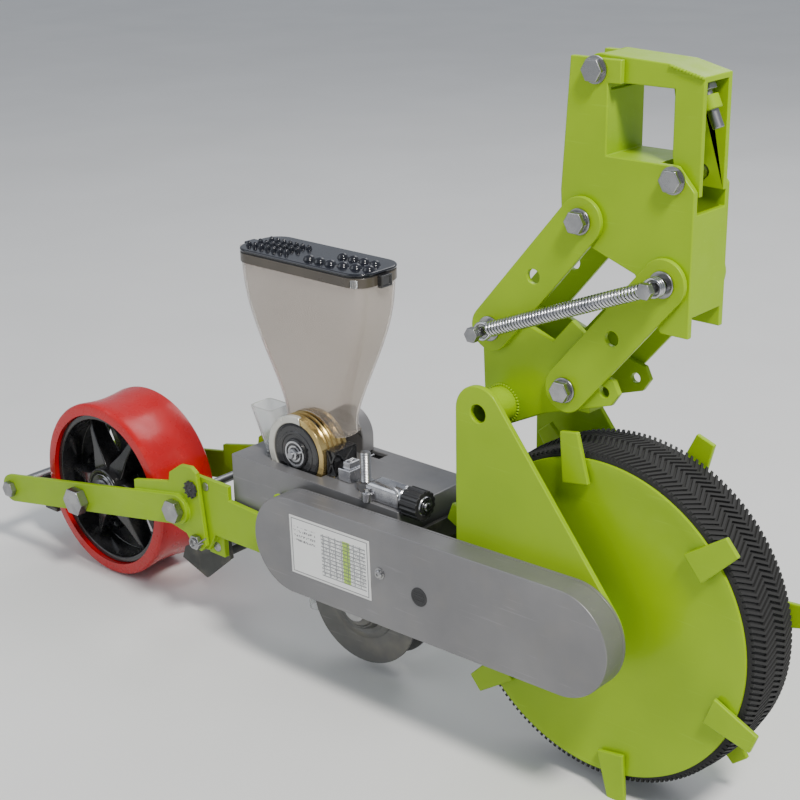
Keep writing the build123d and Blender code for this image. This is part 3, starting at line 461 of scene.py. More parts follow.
class Recipe:
    """One material under construction."""

    def __init__(self, name: str) -> None:
        """Start a material with a Principled shader.

        Args:
            name: name of the material.
        """
        self.material = bpy.data.materials.new(name)
        self.material.use_nodes = True
        self.tree = self.material.node_tree
        self.shader = self.tree.nodes["Principled BSDF"]
        self.place = self.node("ShaderNodeTexCoord").outputs["Object"]

    def node(self, kind: str, **settings: object) -> bpy.types.Node:
        """Add a node.

        Args:
            kind: Blender's name for the node.
            settings: properties to set on it.

        Returns:
            The node.
        """
        made = self.tree.nodes.new(kind)
        for key, value in settings.items():
            setattr(made, key, value)
        return made

    def link(self, source: Socket, target: Socket) -> None:
        """Join two sockets."""
        self.tree.links.new(source, target)

    def mapped(self, scale: Point, turn: Point = (0.0, 0.0, 0.0)) -> Socket:
        """Object coordinates, stretched and turned.

        Args:
            scale: factor along each axis.
            turn: rotation in degrees.

        Returns:
            The vector socket.
        """
        mapping = self.node("ShaderNodeMapping")
        mapping.inputs["Scale"].default_value = scale
        mapping.inputs["Rotation"].default_value = [radians(a) for a in turn]
        self.link(self.place, mapping.inputs["Vector"])
        return mapping.outputs["Vector"]

    def noise(self, scale: float, detail: float = 3.0, stretch: Point = (1.0, 1.0, 1.0)) -> Socket:
        """Noise over the piece.

        Args:
            scale: waves per metre.
            detail: number of octaves.
            stretch: factor along each axis.

        Returns:
            The value socket.
        """
        made = self.node("ShaderNodeTexNoise")
        made.inputs["Scale"].default_value = scale
        made.inputs["Detail"].default_value = detail
        self.link(self.mapped(stretch), made.inputs["Vector"])
        return made.outputs["Fac"]

    def ramp(self, value: Socket, low: float, high: float, out: Place = (0.0, 1.0)) -> Socket:
        """Map a value's range onto another.

        Args:
            value: the value socket.
            low: value at the start.
            high: value at the end.
            out: results at the start and at the end.

        Returns:
            The mapped socket.
        """
        made = self.node("ShaderNodeMapRange")
        self.link(value, made.inputs["Value"])
        for key, number in zip(("From Min", "From Max", "To Min", "To Max"), (low, high, *out)):
            made.inputs[key].default_value = number
        return made.outputs["Result"]

    def mix(self, share: Socket, first: Colour | Socket, second: Colour | Socket) -> Socket:
        """Mix two colours.

        Args:
            share: share of the second colour.
            first: first colour or socket.
            second: second colour or socket.

        Returns:
            The colour socket.
        """
        made = self.node("ShaderNodeMix", data_type="RGBA")
        self.link(share, made.inputs["Factor"])
        for key, colour in ((6, first), (7, second)):
            if isinstance(colour, Socket):
                self.link(colour, made.inputs[key])
            else:
                made.inputs[key].default_value = (*colour, 1.0)
        return made.outputs[2]

    def relief(self, height: Socket, depth: float, strength: float = 1.0) -> None:
        """Add bump on top of what the shader already has.

        Args:
            height: the height socket.
            depth: depth in millimetres.
            strength: strength of the bump.
        """
        bump = self.node("ShaderNodeBump")
        bump.inputs["Strength"].default_value = strength
        bump.inputs["Distance"].default_value = depth * MM
        self.link(height, bump.inputs["Height"])
        normal = self.shader.inputs["Normal"]
        if normal.links:
            self.link(normal.links[0].from_socket, bump.inputs["Normal"])
        self.link(bump.outputs["Normal"], normal)

    def math(self, operation: str, *values: Socket | float) -> Socket:
        """A math node on sockets or numbers.

        Args:
            operation: Blender's name of the operation.
            values: its inputs.

        Returns:
            The result socket.
        """
        made = self.node("ShaderNodeMath", operation=operation)
        for slot, value in zip(made.inputs, values):
            if isinstance(value, Socket):
                self.link(value, slot)
            else:
                slot.default_value = value
        return made.outputs[0]

    def stripes(self, value: Socket, step: float, width: float, shift: float = 0.0) -> Socket:
        """1 on stripes that repeat every step, 0 between them; width is their share of it."""
        share = self.math("FRACT", self.math("ADD", self.math("DIVIDE", value, step), shift + STRIPES_BEFORE_ZERO))
        return self.math("LESS_THAN", share, width)

    def within(self, value: Socket, low: float, high: float) -> Socket:
        """1 where value lies between low and high."""
        return self.times(self.math("GREATER_THAN", value, low), self.math("LESS_THAN", value, high))

    def outside(self, value: Socket, limit: float) -> Socket:
        """1 where value's size is over limit."""
        return self.math("GREATER_THAN", self.math("ABSOLUTE", value), limit)

    def times(self, product: Socket, *factors: Socket | float) -> Socket:
        """Product of sockets and numbers.

        Args:
            product: the first of them.
            factors: the others.

        Returns:
            The result socket.
        """
        for factor in factors:
            product = self.math("MULTIPLY", product, factor)
        return product

    def larger(self, first: Socket, second: Socket) -> Socket:
        """Larger of two sockets."""
        return self.math("MAXIMUM", first, second)


@dataclass(frozen=True)
class Finish:
    """A finish with colour drift, worn patches, fine grain and scratches."""

    name: str
    colour: Colour
    shade: Colour
    rough: Place
    metallic: float = 0.0
    coat: float = 0.0
    grain: Grain = Grain.ORANGE_PEEL
    grain_depth: float = 0.05
    drift_scale: float = 9.0
    dust: float = 0.0
    dust_colour: Colour = (0.30, 0.27, 0.21)
    scratches: float = 0.0
    transmission: float = 0.0
    index: float = 1.45
    specular: float = 0.5

    def make(self) -> bpy.types.Material:
        """Build the material.

        Returns:
            The material.
        """
        recipe = Recipe(self.name)
        drift = recipe.ramp(recipe.noise(self.drift_scale, 4.0), 0.32, 0.68)
        colour = recipe.mix(drift, self.colour, self.shade)
        if self.dust:
            film = recipe.ramp(recipe.noise(34.0, 7.0), 0.52, 0.80, (0.0, self.dust))
            colour = recipe.mix(film, colour, self.dust_colour)
        if self.scratches:
            lines = recipe.noise(150.0, 8.0, (0.10, 1.0, 2.2))
            worn = recipe.ramp(lines, 0.64, 0.70, (0.0, self.scratches))
            paler = tuple(min(1.0, part * 1.5 + 0.05) for part in self.colour)
            colour = recipe.mix(worn, colour, paler)
            recipe.relief(lines, 0.03, 0.35)
        recipe.link(colour, recipe.shader.inputs["Base Color"])
        gloss = recipe.ramp(recipe.noise(60.0, 5.0), 0.30, 0.72, self.rough)
        recipe.link(gloss, recipe.shader.inputs["Roughness"])
        scale, detail, stretch = GRAIN_NOISE[self.grain]
        recipe.relief(recipe.noise(scale, detail, stretch), self.grain_depth, 0.5)
        for key, value in (
            ("Metallic", self.metallic), ("Coat Weight", self.coat), ("Coat Roughness", COAT_ROUGHNESS),
            ("Specular IOR Level", self.specular), ("Transmission Weight", self.transmission), ("IOR", self.index),
        ):
            recipe.shader.inputs[key].default_value = value
        return recipe.material


@dataclass(frozen=True)
class RatingPlate:
    """White plate print: a table of plain lines with one green column, and no lettering."""

    name: str
    centre: Place
    size: Place
    slope: float

    def make(self) -> bpy.types.Material:
        """Build the material.

        Returns:
            The material.
        """
        recipe = Recipe(self.name)
        mapping = recipe.node("ShaderNodeMapping", vector_type="TEXTURE")
        mapping.inputs["Location"].default_value = (self.centre[0] * MM, 0.0, self.centre[1] * MM)
        mapping.inputs["Rotation"].default_value = (0.0, radians(-self.slope), 0.0)
        recipe.link(recipe.place, mapping.inputs["Vector"])
        parts = recipe.node("ShaderNodeSeparateXYZ")
        recipe.link(mapping.outputs["Vector"], parts.inputs["Vector"])
        across, up = parts.outputs["X"], parts.outputs["Z"]
        half, tall = (side / 2 * MM for side in self.size)
        dirt = recipe.ramp(recipe.noise(40.0, 4.0), 0.4, 0.9, (0.0, 0.25))
        colour = recipe.mix(dirt, (0.80, 0.80, 0.78), (0.66, 0.66, 0.62))
        marks = recipe.ramp(recipe.noise(900.0, 2.0, (1.0, 1.0, 0.5)), 0.50, 0.56)
        grid = recipe.larger(recipe.stripes(up, 4.1 * MM, 0.35), recipe.stripes(across, 8.6 * MM, 0.14))
        table = recipe.times(
            recipe.within(across, -0.20 * half, 0.90 * half), recipe.within(up, -0.74 * tall, 0.70 * tall),
        )
        left = recipe.times(
            recipe.within(across, -0.90 * half, -0.34 * half), recipe.within(up, 0.10 * tall, 0.66 * tall),
        )
        frame = recipe.larger(recipe.outside(across, 0.935 * half), recipe.outside(up, 0.90 * tall))
        edge = recipe.larger(recipe.outside(across, 0.955 * half), recipe.outside(up, 0.93 * tall))
        for where, ink in (
            (recipe.times(table, recipe.within(across, 0.34 * half, 0.52 * half)), (0.42, 0.66, 0.05)),
            (recipe.times(table, grid, 0.75), (0.10, 0.11, 0.12)),
            (recipe.times(table, marks, recipe.stripes(up, 4.1 * MM, 0.6, 0.5), 0.7), (0.14, 0.15, 0.16)),
            (recipe.times(left, marks, recipe.stripes(up, 5.2 * MM, 0.5), 0.9), (0.06, 0.06, 0.07)),
            (recipe.times(frame, 0.85), (0.10, 0.10, 0.11)),
            (edge, (0.70, 0.70, 0.68)),
        ):
            colour = recipe.mix(where, colour, ink)
        recipe.link(colour, recipe.shader.inputs["Base Color"])
        recipe.link(recipe.ramp(recipe.noise(80.0), 0.3, 0.7, (0.30, 0.45)), recipe.shader.inputs["Roughness"])
        recipe.relief(recipe.noise(300.0), 0.02, 0.4)
        return recipe.material


class Coat(Enum):
    """The finishes of the planter unit."""

    LIME = Finish("lime_gloss_paint", (0.29, 0.47, 0.0), (0.24, 0.40, 0.0), (0.34, 0.50), coat=0.06,
                  grain_depth=0.06, dust=0.05, dust_colour=(0.24, 0.30, 0.02), scratches=0.10, specular=0.3)
    CASE = Finish("silver_satin_paint", (0.225, 0.222, 0.226), (0.18, 0.178, 0.184), (0.34, 0.48), metallic=0.45,
                  grain=Grain.CAST, grain_depth=0.02, dust=0.12, scratches=0.18)
    ZINC = Finish("zinc_plate", (0.40, 0.40, 0.40), (0.27, 0.27, 0.28), (0.22, 0.42), metallic=1.0,
                  grain=Grain.CAST, grain_depth=0.03, drift_scale=60.0)
    STEEL = Finish("machined_steel", (0.42, 0.42, 0.43), (0.33, 0.33, 0.35), (0.26, 0.42), metallic=1.0,
                   grain=Grain.BRUSHED, grain_depth=0.03, scratches=0.2)
    SPRING = Finish("spring_wire", (0.62, 0.62, 0.64), (0.44, 0.44, 0.47), (0.14, 0.28), metallic=1.0,
                    grain=Grain.BRUSHED, grain_depth=0.01, drift_scale=40.0)
    CAST = Finish("bright_casting", (0.56, 0.56, 0.57), (0.36, 0.36, 0.38), (0.16, 0.34), metallic=1.0,
                  grain=Grain.CAST, grain_depth=0.18, drift_scale=70.0)
    TYRE = Finish("tyre_rubber", (0.011, 0.011, 0.012), (0.020, 0.019, 0.019), (0.48, 0.70), grain=Grain.CAST,
                  grain_depth=0.05, dust=0.2, dust_colour=(0.05, 0.048, 0.045))
    RED = Finish("red_polyurethane", (0.52, 0.0, 0.003), (0.42, 0.0, 0.002), (0.22, 0.36), coat=0.15,
                 grain=Grain.MOULDED, grain_depth=0.02, dust=0.06, scratches=0.05)
    BLACK_GLOSS = Finish("black_gloss_paint", (0.010, 0.010, 0.011), (0.018, 0.018, 0.020), (0.16, 0.34), coat=0.4,
                         grain=Grain.ORANGE_PEEL, grain_depth=0.08, dust=0.08)
    BLACK = Finish("black_moulding", (0.014, 0.014, 0.015), (0.028, 0.028, 0.030), (0.34, 0.55), grain=Grain.MOULDED,
                   grain_depth=0.05, dust=0.12)
    DARK = Finish("dark_painted_steel", (0.022, 0.024, 0.022), (0.045, 0.045, 0.04), (0.40, 0.62), grain=Grain.CAST,
                  grain_depth=0.08, dust=0.35, scratches=0.2)
    SMOKE = Finish("smoked_moulding", (0.80, 0.75, 0.70), (0.72, 0.67, 0.62), (0.10, 0.18), coat=0.3,
                   grain=Grain.MOULDED, grain_depth=0.03, drift_scale=5.0, transmission=0.84, index=1.12)
    SKIRT = Finish("lid_skirt", (0.085, 0.072, 0.055), (0.060, 0.050, 0.040), (0.24, 0.38), coat=0.1,
                   grain=Grain.MOULDED, grain_depth=0.03, drift_scale=16.0)
    LID = Finish("dark_lid", (0.006, 0.007, 0.011), (0.012, 0.014, 0.021), (0.12, 0.26), coat=0.25,
                 grain=Grain.MOULDED, grain_depth=0.03, drift_scale=30.0)
    CLEAR = Finish("clear_moulding", (0.86, 0.87, 0.87), (0.78, 0.80, 0.80), (0.08, 0.18),
                   grain=Grain.MOULDED, grain_depth=0.03, transmission=0.80, index=1.25)
    BRASS = Finish("brass_coloured_shell", (0.62, 0.47, 0.20), (0.40, 0.29, 0.11), (0.16, 0.34), metallic=0.85,
                   grain=Grain.CAST, grain_depth=0.04, drift_scale=50.0)
    CREAM = Finish("cream_ring", (0.62, 0.61, 0.55), (0.50, 0.49, 0.44), (0.18, 0.32), metallic=0.3,
                   grain=Grain.MOULDED, grain_depth=0.03, drift_scale=40.0)
    DISC = Finish("dull_disc_steel", (0.17, 0.17, 0.165), (0.11, 0.11, 0.105), (0.42, 0.60), metallic=0.7,
                  grain=Grain.BRUSHED, grain_depth=0.05, dust=0.4, scratches=0.2)
    PLATE = RatingPlate("rating_plate_print", (-313.0, -472.0), (114.0, 66.0), 1.4)

    def material(self) -> bpy.types.Material:
        """The material of this finish, made once."""
        return bpy.data.materials.get(self.value.name) or self.value.make()


def dress(obj: Obj, coat: Coat) -> Obj:
    """Give obj one finish all over.

    Args:
        obj: the mesh object.
        coat: the finish.

    Returns:
        The same object.
    """
    obj.data.materials.clear()
    obj.data.materials.append(coat.material())
    return obj


def mount(obj: Obj, body: str, coat: Coat, stands_for: Iterable[str] = ()) -> Obj:
    """Dress a finished piece and make it ride on a CAD body.

    Args:
        obj: the finished piece.
        body: the CAD body that it moves with.
        coat: its finish.
        stands_for: the CAD nodes that it replaces.

    Returns:
        The same object.
    """
    dress(obj, coat)
    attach(obj, body)
    if stands_for:
        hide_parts(*stands_for)
    LOG.info("%s rides on %s: %d faces", obj.name, body, len(obj.data.polygons))
    return obj


@dataclass(frozen=True)
class Edged:
    """A CAD node whose edges are rounded in a detailed copy."""

    node: str
    coat: Coat
    slot: str
    width: float

    def build(self) -> Obj:
        """Make the copy, and hide the node behind it."""
        piece = soften(from_cad(self.node, f"{self.node}_edged"), self.width)
        return mount(piece, bpy.data.objects[self.node]["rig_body"], self.coat, [self.node])


def edge_all(coat: Coat, slot: str, **widths: float) -> None:
    """Build an edged copy of each node named, with its edges rounded by that many millimetres."""
    for node, width in widths.items():
        Edged(node, coat, slot, width).build()


@dataclass
class Welds:
    """Rows and rings of small weld beads in the paint."""

    bead: float = 1.9
    step: float = 3.0

    def one(self, name: str, at: Point) -> Obj:
        """One flattened bead.

        Args:
            name: name of the bead.
            at: its centre.

        Returns:
            The bead.
        """
        select_only()
        bpy.ops.mesh.primitive_uv_sphere_add(segments=8, ring_count=6, radius=self.bead * MM, location=Vector(at) * MM)
        bpy.context.object.scale = (1.0, 0.8, 0.8)
        return smooth(added(name), 80)

    def line(self, name: str, start: Point, end: Point) -> Obj:
        """Beads along a straight seam.

        Args:
            name: name of the seam.
            start: first bead.
            end: last bead.

        Returns:
            The seam.
        """
        run = Vector(end) - Vector(start)
        count = max(2, int(run.length / self.step))
        first = self.one(name, start)
        beads = [first]
        for step in range(1, count + 1):
            beads.append(moved(copy_of(first, f"{name}_{step}"), tuple(run * step / count)))
        return joined(name, beads)

    def ring(self, name: str, centre: Point, radius: float) -> Obj:
        """Beads round a tube that lies across the machine.

        Args:
            name: name of the seam.
            centre: centre of the seam.
            radius: radius of the tube.

        Returns:
            The seam.
        """
        first = self.one(name, (centre[0] + radius, centre[1], centre[2]))
        return around(name, first, centre, int(2 * pi * radius / self.step))


@dataclass
class ToolbarClamp:
    """Bracket, hinged strap and their hardware."""

    cheek: float = 28.0
    welds: Welds = field(default_factory=Welds)

    def build(self) -> None:
        """Build the edged plates, the hardware and the seams."""
        edge_all(Coat.LIME, "green_paint", toolbar_bracket=0.9, clamp_strap=0.9)
        edge_all(Coat.ZINC, "zinc", bracket_bolts=0.8, bracket_nuts=0.6, bracket_spacers=0.4)
        seams = [
            self.welds.line("weld_seat", (-28, -21.5, -37.5), (18, -21.5, -37.5)),
            self.welds.line("weld_post", (-37.5, -21.5, -34), (-37.5, -21.5, 22)),
            self.welds.line("weld_web", (51.5, -21.5, -158), (51.5, -21.5, -74)),
        ]
        mount(joined("bracket_welds", seams), "bracket", Coat.LIME)
        top = self.welds.line("strap_weld", (27, -22.2, 49.4), (58, -22.2, 42.2))
        mount(joined("strap_welds", [top]), "bracket", Coat.LIME)
        rings = [(7.2, -0.1), (12, -0.1), (12, -1.6), (7.2, -1.6)]
        washers = [
            turned(f"washer_{x}", (x, -self.cheek, z), rings, 40, loop=True) for x, z in ((-44.0, 41.0), (37.0, -43.0))
        ]
        mount(joined("clamp_washers", washers), "bracket", Coat.ZINC)


@dataclass
class Linkage:
    """Parallel arms, their hardware and the down-pressure spring."""

    rear: Place = (-153.0, -208.5)
    front: Place = (34.0, -132.0)
    seat_y: float = -45.0
    coil_radius: float = 6.2
    wire: float = 1.3
    turns: int = 50
    eye: float = 7.9
    head_y: float = -53.0
    head_share: float = 0.72
    head_reach: float = 14.0
    eye_stretch: float = 0.28
    welds: Welds = field(default_factory=Welds)

    def build(self) -> None:
        """Build the arms, the base and the spring."""
        edge_all(Coat.LIME, "green_paint", upper_arms=0.7, lower_arms=0.7, linkage_base=0.9, cross_tube=0.6)
        edge_all(Coat.ZINC, "zinc", linkage_base_bolts=0.8, linkage_base_nuts=0.6, linkage_base_spacers=0.4)
        seams = [
            self.welds.ring(f"tube_weld_{y}", (-141.0, y, -282.0), 18.2)
            for y in (-60.0, -28.6, 28.6, 60.0)
        ]
        mount(joined("tube_welds", seams), "frame", Coat.LIME)
        self.slim_head(bpy.data.objects["bracket_bolts_edged"], self.front)
        self.slim_head(bpy.data.objects["linkage_base_bolts_edged"], self.rear)
        self.spring()

    def slim_head(self, bolts: Obj, at: Place) -> None:
        """Draw in the head of the bolt that carries an end of the spring.

        Args:
            bolts: the bolts.
            at: centre of the head.
        """
        axis = Vector((at[0], 0, at[1])) * MM
        for point in bolts.data.vertices:
            off = point.co - axis
            if point.co.y < self.head_y * MM and Vector((off.x, off.z)).length < self.head_reach * MM:
                point.co.x = axis.x + off.x * self.head_share
                point.co.z = axis.z + off.z * self.head_share

    def coil(self, start: Vector, run: Vector) -> Obj:
        """The coil of the spring between its eyes.

        Args:
            start: where the coil starts, in metres.
            run: from there to its end.

        Returns:
            The coil.
        """
        select_only()
        bpy.ops.mesh.primitive_circle_add(
            vertices=8, radius=self.wire * MM, location=(self.coil_radius * MM, 0, 0), rotation=(pi / 2, 0, 0),
        )
        coil = applied(added("coil"), "SCREW", angle=2 * pi, screw_offset=run.length / self.turns,
                       iterations=self.turns, steps=14, render_steps=14)
        coil.data.transform(Matrix.Translation(start) @ run.to_track_quat("Z", "Y").to_matrix().to_4x4())
        return smooth(tidy_shell(coil), 70)

    def eyes(self, name: str, at: Place, toward: Vector, ys: Sequence[float]) -> Obj:
        """Wire eyes side by side round a pivot bolt, drawn out towards the coil.

        Args:
            name: name of the eyes.
            at: the pivot.
            toward: direction of the coil.
            ys: positions of the eyes across the machine.

        Returns:
            The eyes.
        """
        rings = []
        for number, y in enumerate(ys):
            ring = hoop(f"{name}_{number}", (at[0], y, at[1]), self.eye, self.wire, 40)
            for point in ring.data.vertices:
                off = (point.co - Vector((at[0], y, at[1])) * MM).dot(toward)
                point.co += toward * max(0.0, off) * self.eye_stretch
            rings.append(smooth(ring, 70))
        return joined(name, rings)

    def spring(self) -> None:
        """Build the spring between the frame and the lower arms, in place of the CAD spring."""
        start = Vector((self.rear[0], self.seat_y, self.rear[1])) * MM
        end = Vector((self.front[0], self.seat_y, self.front[1])) * MM
        toward = (end - start).normalized()
        gap = (self.eye + 1.6) * MM
        parts = [
            self.coil(start + toward * gap, (end - start) - 2 * toward * gap),
            self.eyes("rear_eyes", self.rear, toward, (self.seat_y - 1.4, self.seat_y + 1.4)),
            self.eyes("front_eyes", self.front, -toward, (self.seat_y - 2.8, self.seat_y, self.seat_y + 2.8)),
        ]
        spring = dress(joined("coil_spring", parts), Coat.SPRING)
        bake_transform(spring)
        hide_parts("down_spring")


@dataclass
class MainFrame:
    """Side plates, cross plate, meter base and small frame hardware."""

    arm_face: float = 73.5
    plug: Place = (-554.0, -471.0)
    pivot: Place = (-548.0, -534.0)
    pin_y: float = -82.0
    pin_loop: float = 5.0
    pin_wire: float = 0.9

    def build(self) -> None:
        """Build the plates, the plug and the split pin."""
        edge_all(Coat.LIME, "green_paint", side_plate_right=0.9, side_plate_left=0.9)
        edge_all(Coat.DARK, "dark_steel", front_cross_plate=0.6)
        edge_all(Coat.ZINC, "zinc", frame_pins=0.6)
        edge_all(Coat.CASE, "silver_paint", meter_base=1.2, gear_cover=1.2)
        edge_all(Coat.LIME, "green_paint", opener_frame=0.6)
        edge_all(Coat.ZINC, "zinc", arm_pivot_bolts=0.7, frame_bearings=0.5)
        self.plug_piece()
        self.split_pin()

    def plug_piece(self) -> None:
        """Build the ribbed black plug on the right press arm."""
        x, z = self.plug
        rings = [(9, 0), (9.5, -1.2), (9.2, -2.6), (6.4, -3.4), (6.0, -2.6), (2.4, -2.6), (2.0, -3.6), (0.4, -3.7)]
        body = turned("side_plug", (x, -self.arm_face, z), rings, 36)
        tooth = boxed("plug_tooth", (x + 6, -self.arm_face - 3.6, z - 0.9), (x + 10.6, -self.arm_face - 0.4, z + 0.9))
        soften(tooth, 0.4)
        teeth = around("plug_teeth", tooth, (x, -self.arm_face, z), 10)
        mount(joined("arm_plug", [body, teeth]), "press_arms", Coat.BLACK)

    def split_pin(self) -> None:
        """Build the bent wire pin below the press-arm pivot."""
        x, z = self.pivot
        foot = (x, self.pin_y, z - self.pin_loop)
        parts = [hoop("pin_loop", (x, self.pin_y, z), self.pin_loop, self.pin_wire, 28)]
        for number, (lean, length) in enumerate(((52, 30), (60, 22))):
            leg = turned(f"pin_leg_{number}", foot, [(self.pin_wire, 0), (self.pin_wire, -length)], 10)
            parts.append(turn_about(turn_about(leg, foot, "X", -90), foot, "Y", lean))
        mount(joined("split_pin", parts), "frame", Coat.ZINC)


@dataclass
class DriveWheel:
    """Ground-drive wheel with its ribbed tyre and grip cleats."""

    centre: Point = (-22.0, 0.0, -469.0)
    tread: float = 167.0
    rib_top: float = 169.7
    rib_count: int = 178
    rib_width: float = 2.8
    rib_run: float = 16.2
    zigzag: float = 8.5

    def build(self) -> None:
        """Build the rim, the tyre and the cleats."""
        self.discs()
        edge_all(Coat.LIME, "green_paint", drive_cleats=1.1, wheel_core=0.6)
        edge_all(Coat.STEEL, "bare_steel", drive_axle=0.8)
        dress(bpy.data.objects["front_sprocket"], Coat.STEEL)
        self.tyre()

    def discs(self) -> None:
        """Build the two shallow dished discs, flush with the rim at their edge."""
        profile = [
            (10.3, 32.2), (26, 32.2), (60, 33.2), (120, 35.0), (148, 36.2), (153, 37.2), (159.6, 37.3), (159.9, 36.4),
            (159.9, 34.4), (148, 33.4), (60, 30.4), (10.3, 29.4),
        ]
        discs = [
            turned(f"disc_{sign}", self.centre, [(r, sign * y) for r, y in profile], 144, loop=True) for sign in (-1, 1)
        ]
        mount(joined("dished_discs", discs), "drive_wheel", Coat.LIME, ["wheel_discs"])

    def rib(self) -> Obj:
        """One zigzag rib across the tread, at the top of the wheel.

        Returns:
            The rib.
        """
        x, _, z = self.centre
        half = self.rib_width / 2
        edge = -31.9
        low = (x - half - self.zigzag / 2, edge - 1.3, z + self.tread - 4.6)
        high = (x + half - self.zigzag / 2, edge, z + self.rib_top - 2.8)
        rib = boxed("rib", low, high)
        for number, rise in enumerate((2.0, 0.8, -0.8, -2.0)):
            pick_faces(rib, lambda centre, normal: normal.y > 0.5 and centre.y > (edge - 0.2) * MM)
            extrude(self.zigzag if number % 2 == 0 else -self.zigzag, self.rib_run, rise)
            done()
            edge += self.rib_run
        return rib

    def tyre(self) -> None:
        """Build the tread body with its ribs all round."""
        profile = [
            (150.2, -34.2), (160, -34.2), (163.5, -33), (165.2, -30), (166.4, -20), (167, 0), (166.4, 20),
            (165.2, 30), (163.5, 33), (160, 34.2), (150.2, 34.2),
        ]
        body = turned("tread_body", self.centre, profile, 144, loop=True)
        ribs = around("tread_ribs", self.rib(), self.centre, self.rib_count)
        for side, y in (("left", 33.6), ("right", -33.6)):
            rings = [(158, y - 0.6), (162.5, y - 0.6), (162, y + 0.7), (158.5, y + 0.7)]
            body = joined("tread_body", [body, turned(f"wall_bead_{side}", self.centre, rings, 120, loop=True)])
        mount(joined("ribbed_tyre", [body, ribs]), "drive_wheel", Coat.TYRE, ["drive_tyre"])


@dataclass
class ChainCase:
    """Chain case with its plate, badge and screw."""

    face: float = -96.5
    depth: float = 27.0
    wall: float = 1.5
    radius: float = 54.0
    rear: Place = (-371.15, -477.5)
    front: Place = (-22.0, -469.0)
    plate_centre: Place = (-313.0, -472.0)
    plate_size: Place = (114.0, 66.0)
    slope: float = 1.4
    screw: Place = (-243.0, -469.0)
    badge: Place = (-191.0, -478.0)

    def build(self) -> None:
        """Build the case and what is on its face."""
        self.shell()
        edge_all(Coat.CASE, "silver_paint", chain_case_plate=0.3)
        for node in ("drive_chain", "rear_sprocket", "driven_shaft", "driven_gear", "idler_gear", "roller_gear"):
            dress(bpy.data.objects[node], Coat.STEEL)
        self.rating_plate()
        self.screw_head()
        self.round_badge()

    def shell(self) -> None:
        """Build the cover: a long round-ended shell with a rolled front edge, open towards the frame."""
        start = Vector((self.rear[0], self.face + self.depth, self.rear[1])) * MM
        run = (Vector((self.front[0], 0, self.front[1])) - Vector((self.rear[0], 0, self.rear[1]))) * MM
        select_only()
        bpy.ops.mesh.primitive_circle_add(
            vertices=144, radius=self.radius * MM, fill_type="NGON", location=start, rotation=(pi / 2, 0, 0),
        )
        shell = added("case_shell")
        editing(shell, "VERT", "DESELECT")
        done()
        for point in shell.data.vertices:
            point.select = (point.co - start).dot(run) > 0
        bpy.ops.object.mode_set(mode="EDIT")
        bpy.ops.transform.translate(value=run)
        bpy.ops.mesh.select_all(action="SELECT")
        extrude(0, -self.depth, 0)
        done()
        soften(tidy_shell(shell), 1.1, 4)
        drop_faces(shell, lambda centre, normal: normal.y > 0.9)
        mount(smooth(walled(shell, self.wall)), "frame", Coat.CASE, ["chain_case_cover"])

    def rating_plate(self) -> None:
        """Build the thin printed plate."""
        x, z = self.plate_centre
        half, tall = self.plate_size[0] / 2, self.plate_size[1] / 2
        plate = boxed("rating_plate", (x - half, self.face - 0.5, z - tall), (x + half, self.face + 0.2, z + tall))
        soften(plate, 0.25)
        turn_about(plate, (x, self.face, z), "Y", -self.slope)
        mount(plate, "frame", Coat.PLATE)

    def screw_head(self) -> None:
        """Build the screw's crowned head and washer in place of the plain one."""
        x, z = self.screw
        rings = [(6.2, 0.2), (6.2, -0.9), (4.6, -1.0), (4.5, -2.8), (3.6, -3.7), (1.6, -4.0), (1.4, -3.2), (0.3, -3.2)]
        head = turned("case_screw_head", (x, self.face, z), rings, 36)
        mount(head, "frame", Coat.ZINC, ["chain_case_screw"])

    def round_badge(self) -> None:
        """Build the plain round badge with raised rings and bars."""
        x, z = self.badge
        rings = [(10, 0.1), (10, -0.5), (9.2, -0.8), (8.2, -0.8), (7.8, -0.4), (0.4, -0.4)]
        disc = turned("badge_disc", (x, self.face, z), rings, 48)
        parts = [disc]
        for up, half in ((-4, 5.6), (-1.6, 7.0), (1.6, 7.0), (4, 5.6)):
            low, high = (x - half, self.face - 0.75, z + up - 0.5), (x + half, self.face - 0.3, z + up + 0.5)
            parts.append(soften(boxed(f"badge_bar_{up}", low, high), 0.15))
        mount(joined("case_badge", parts), "frame", Coat.BLACK)


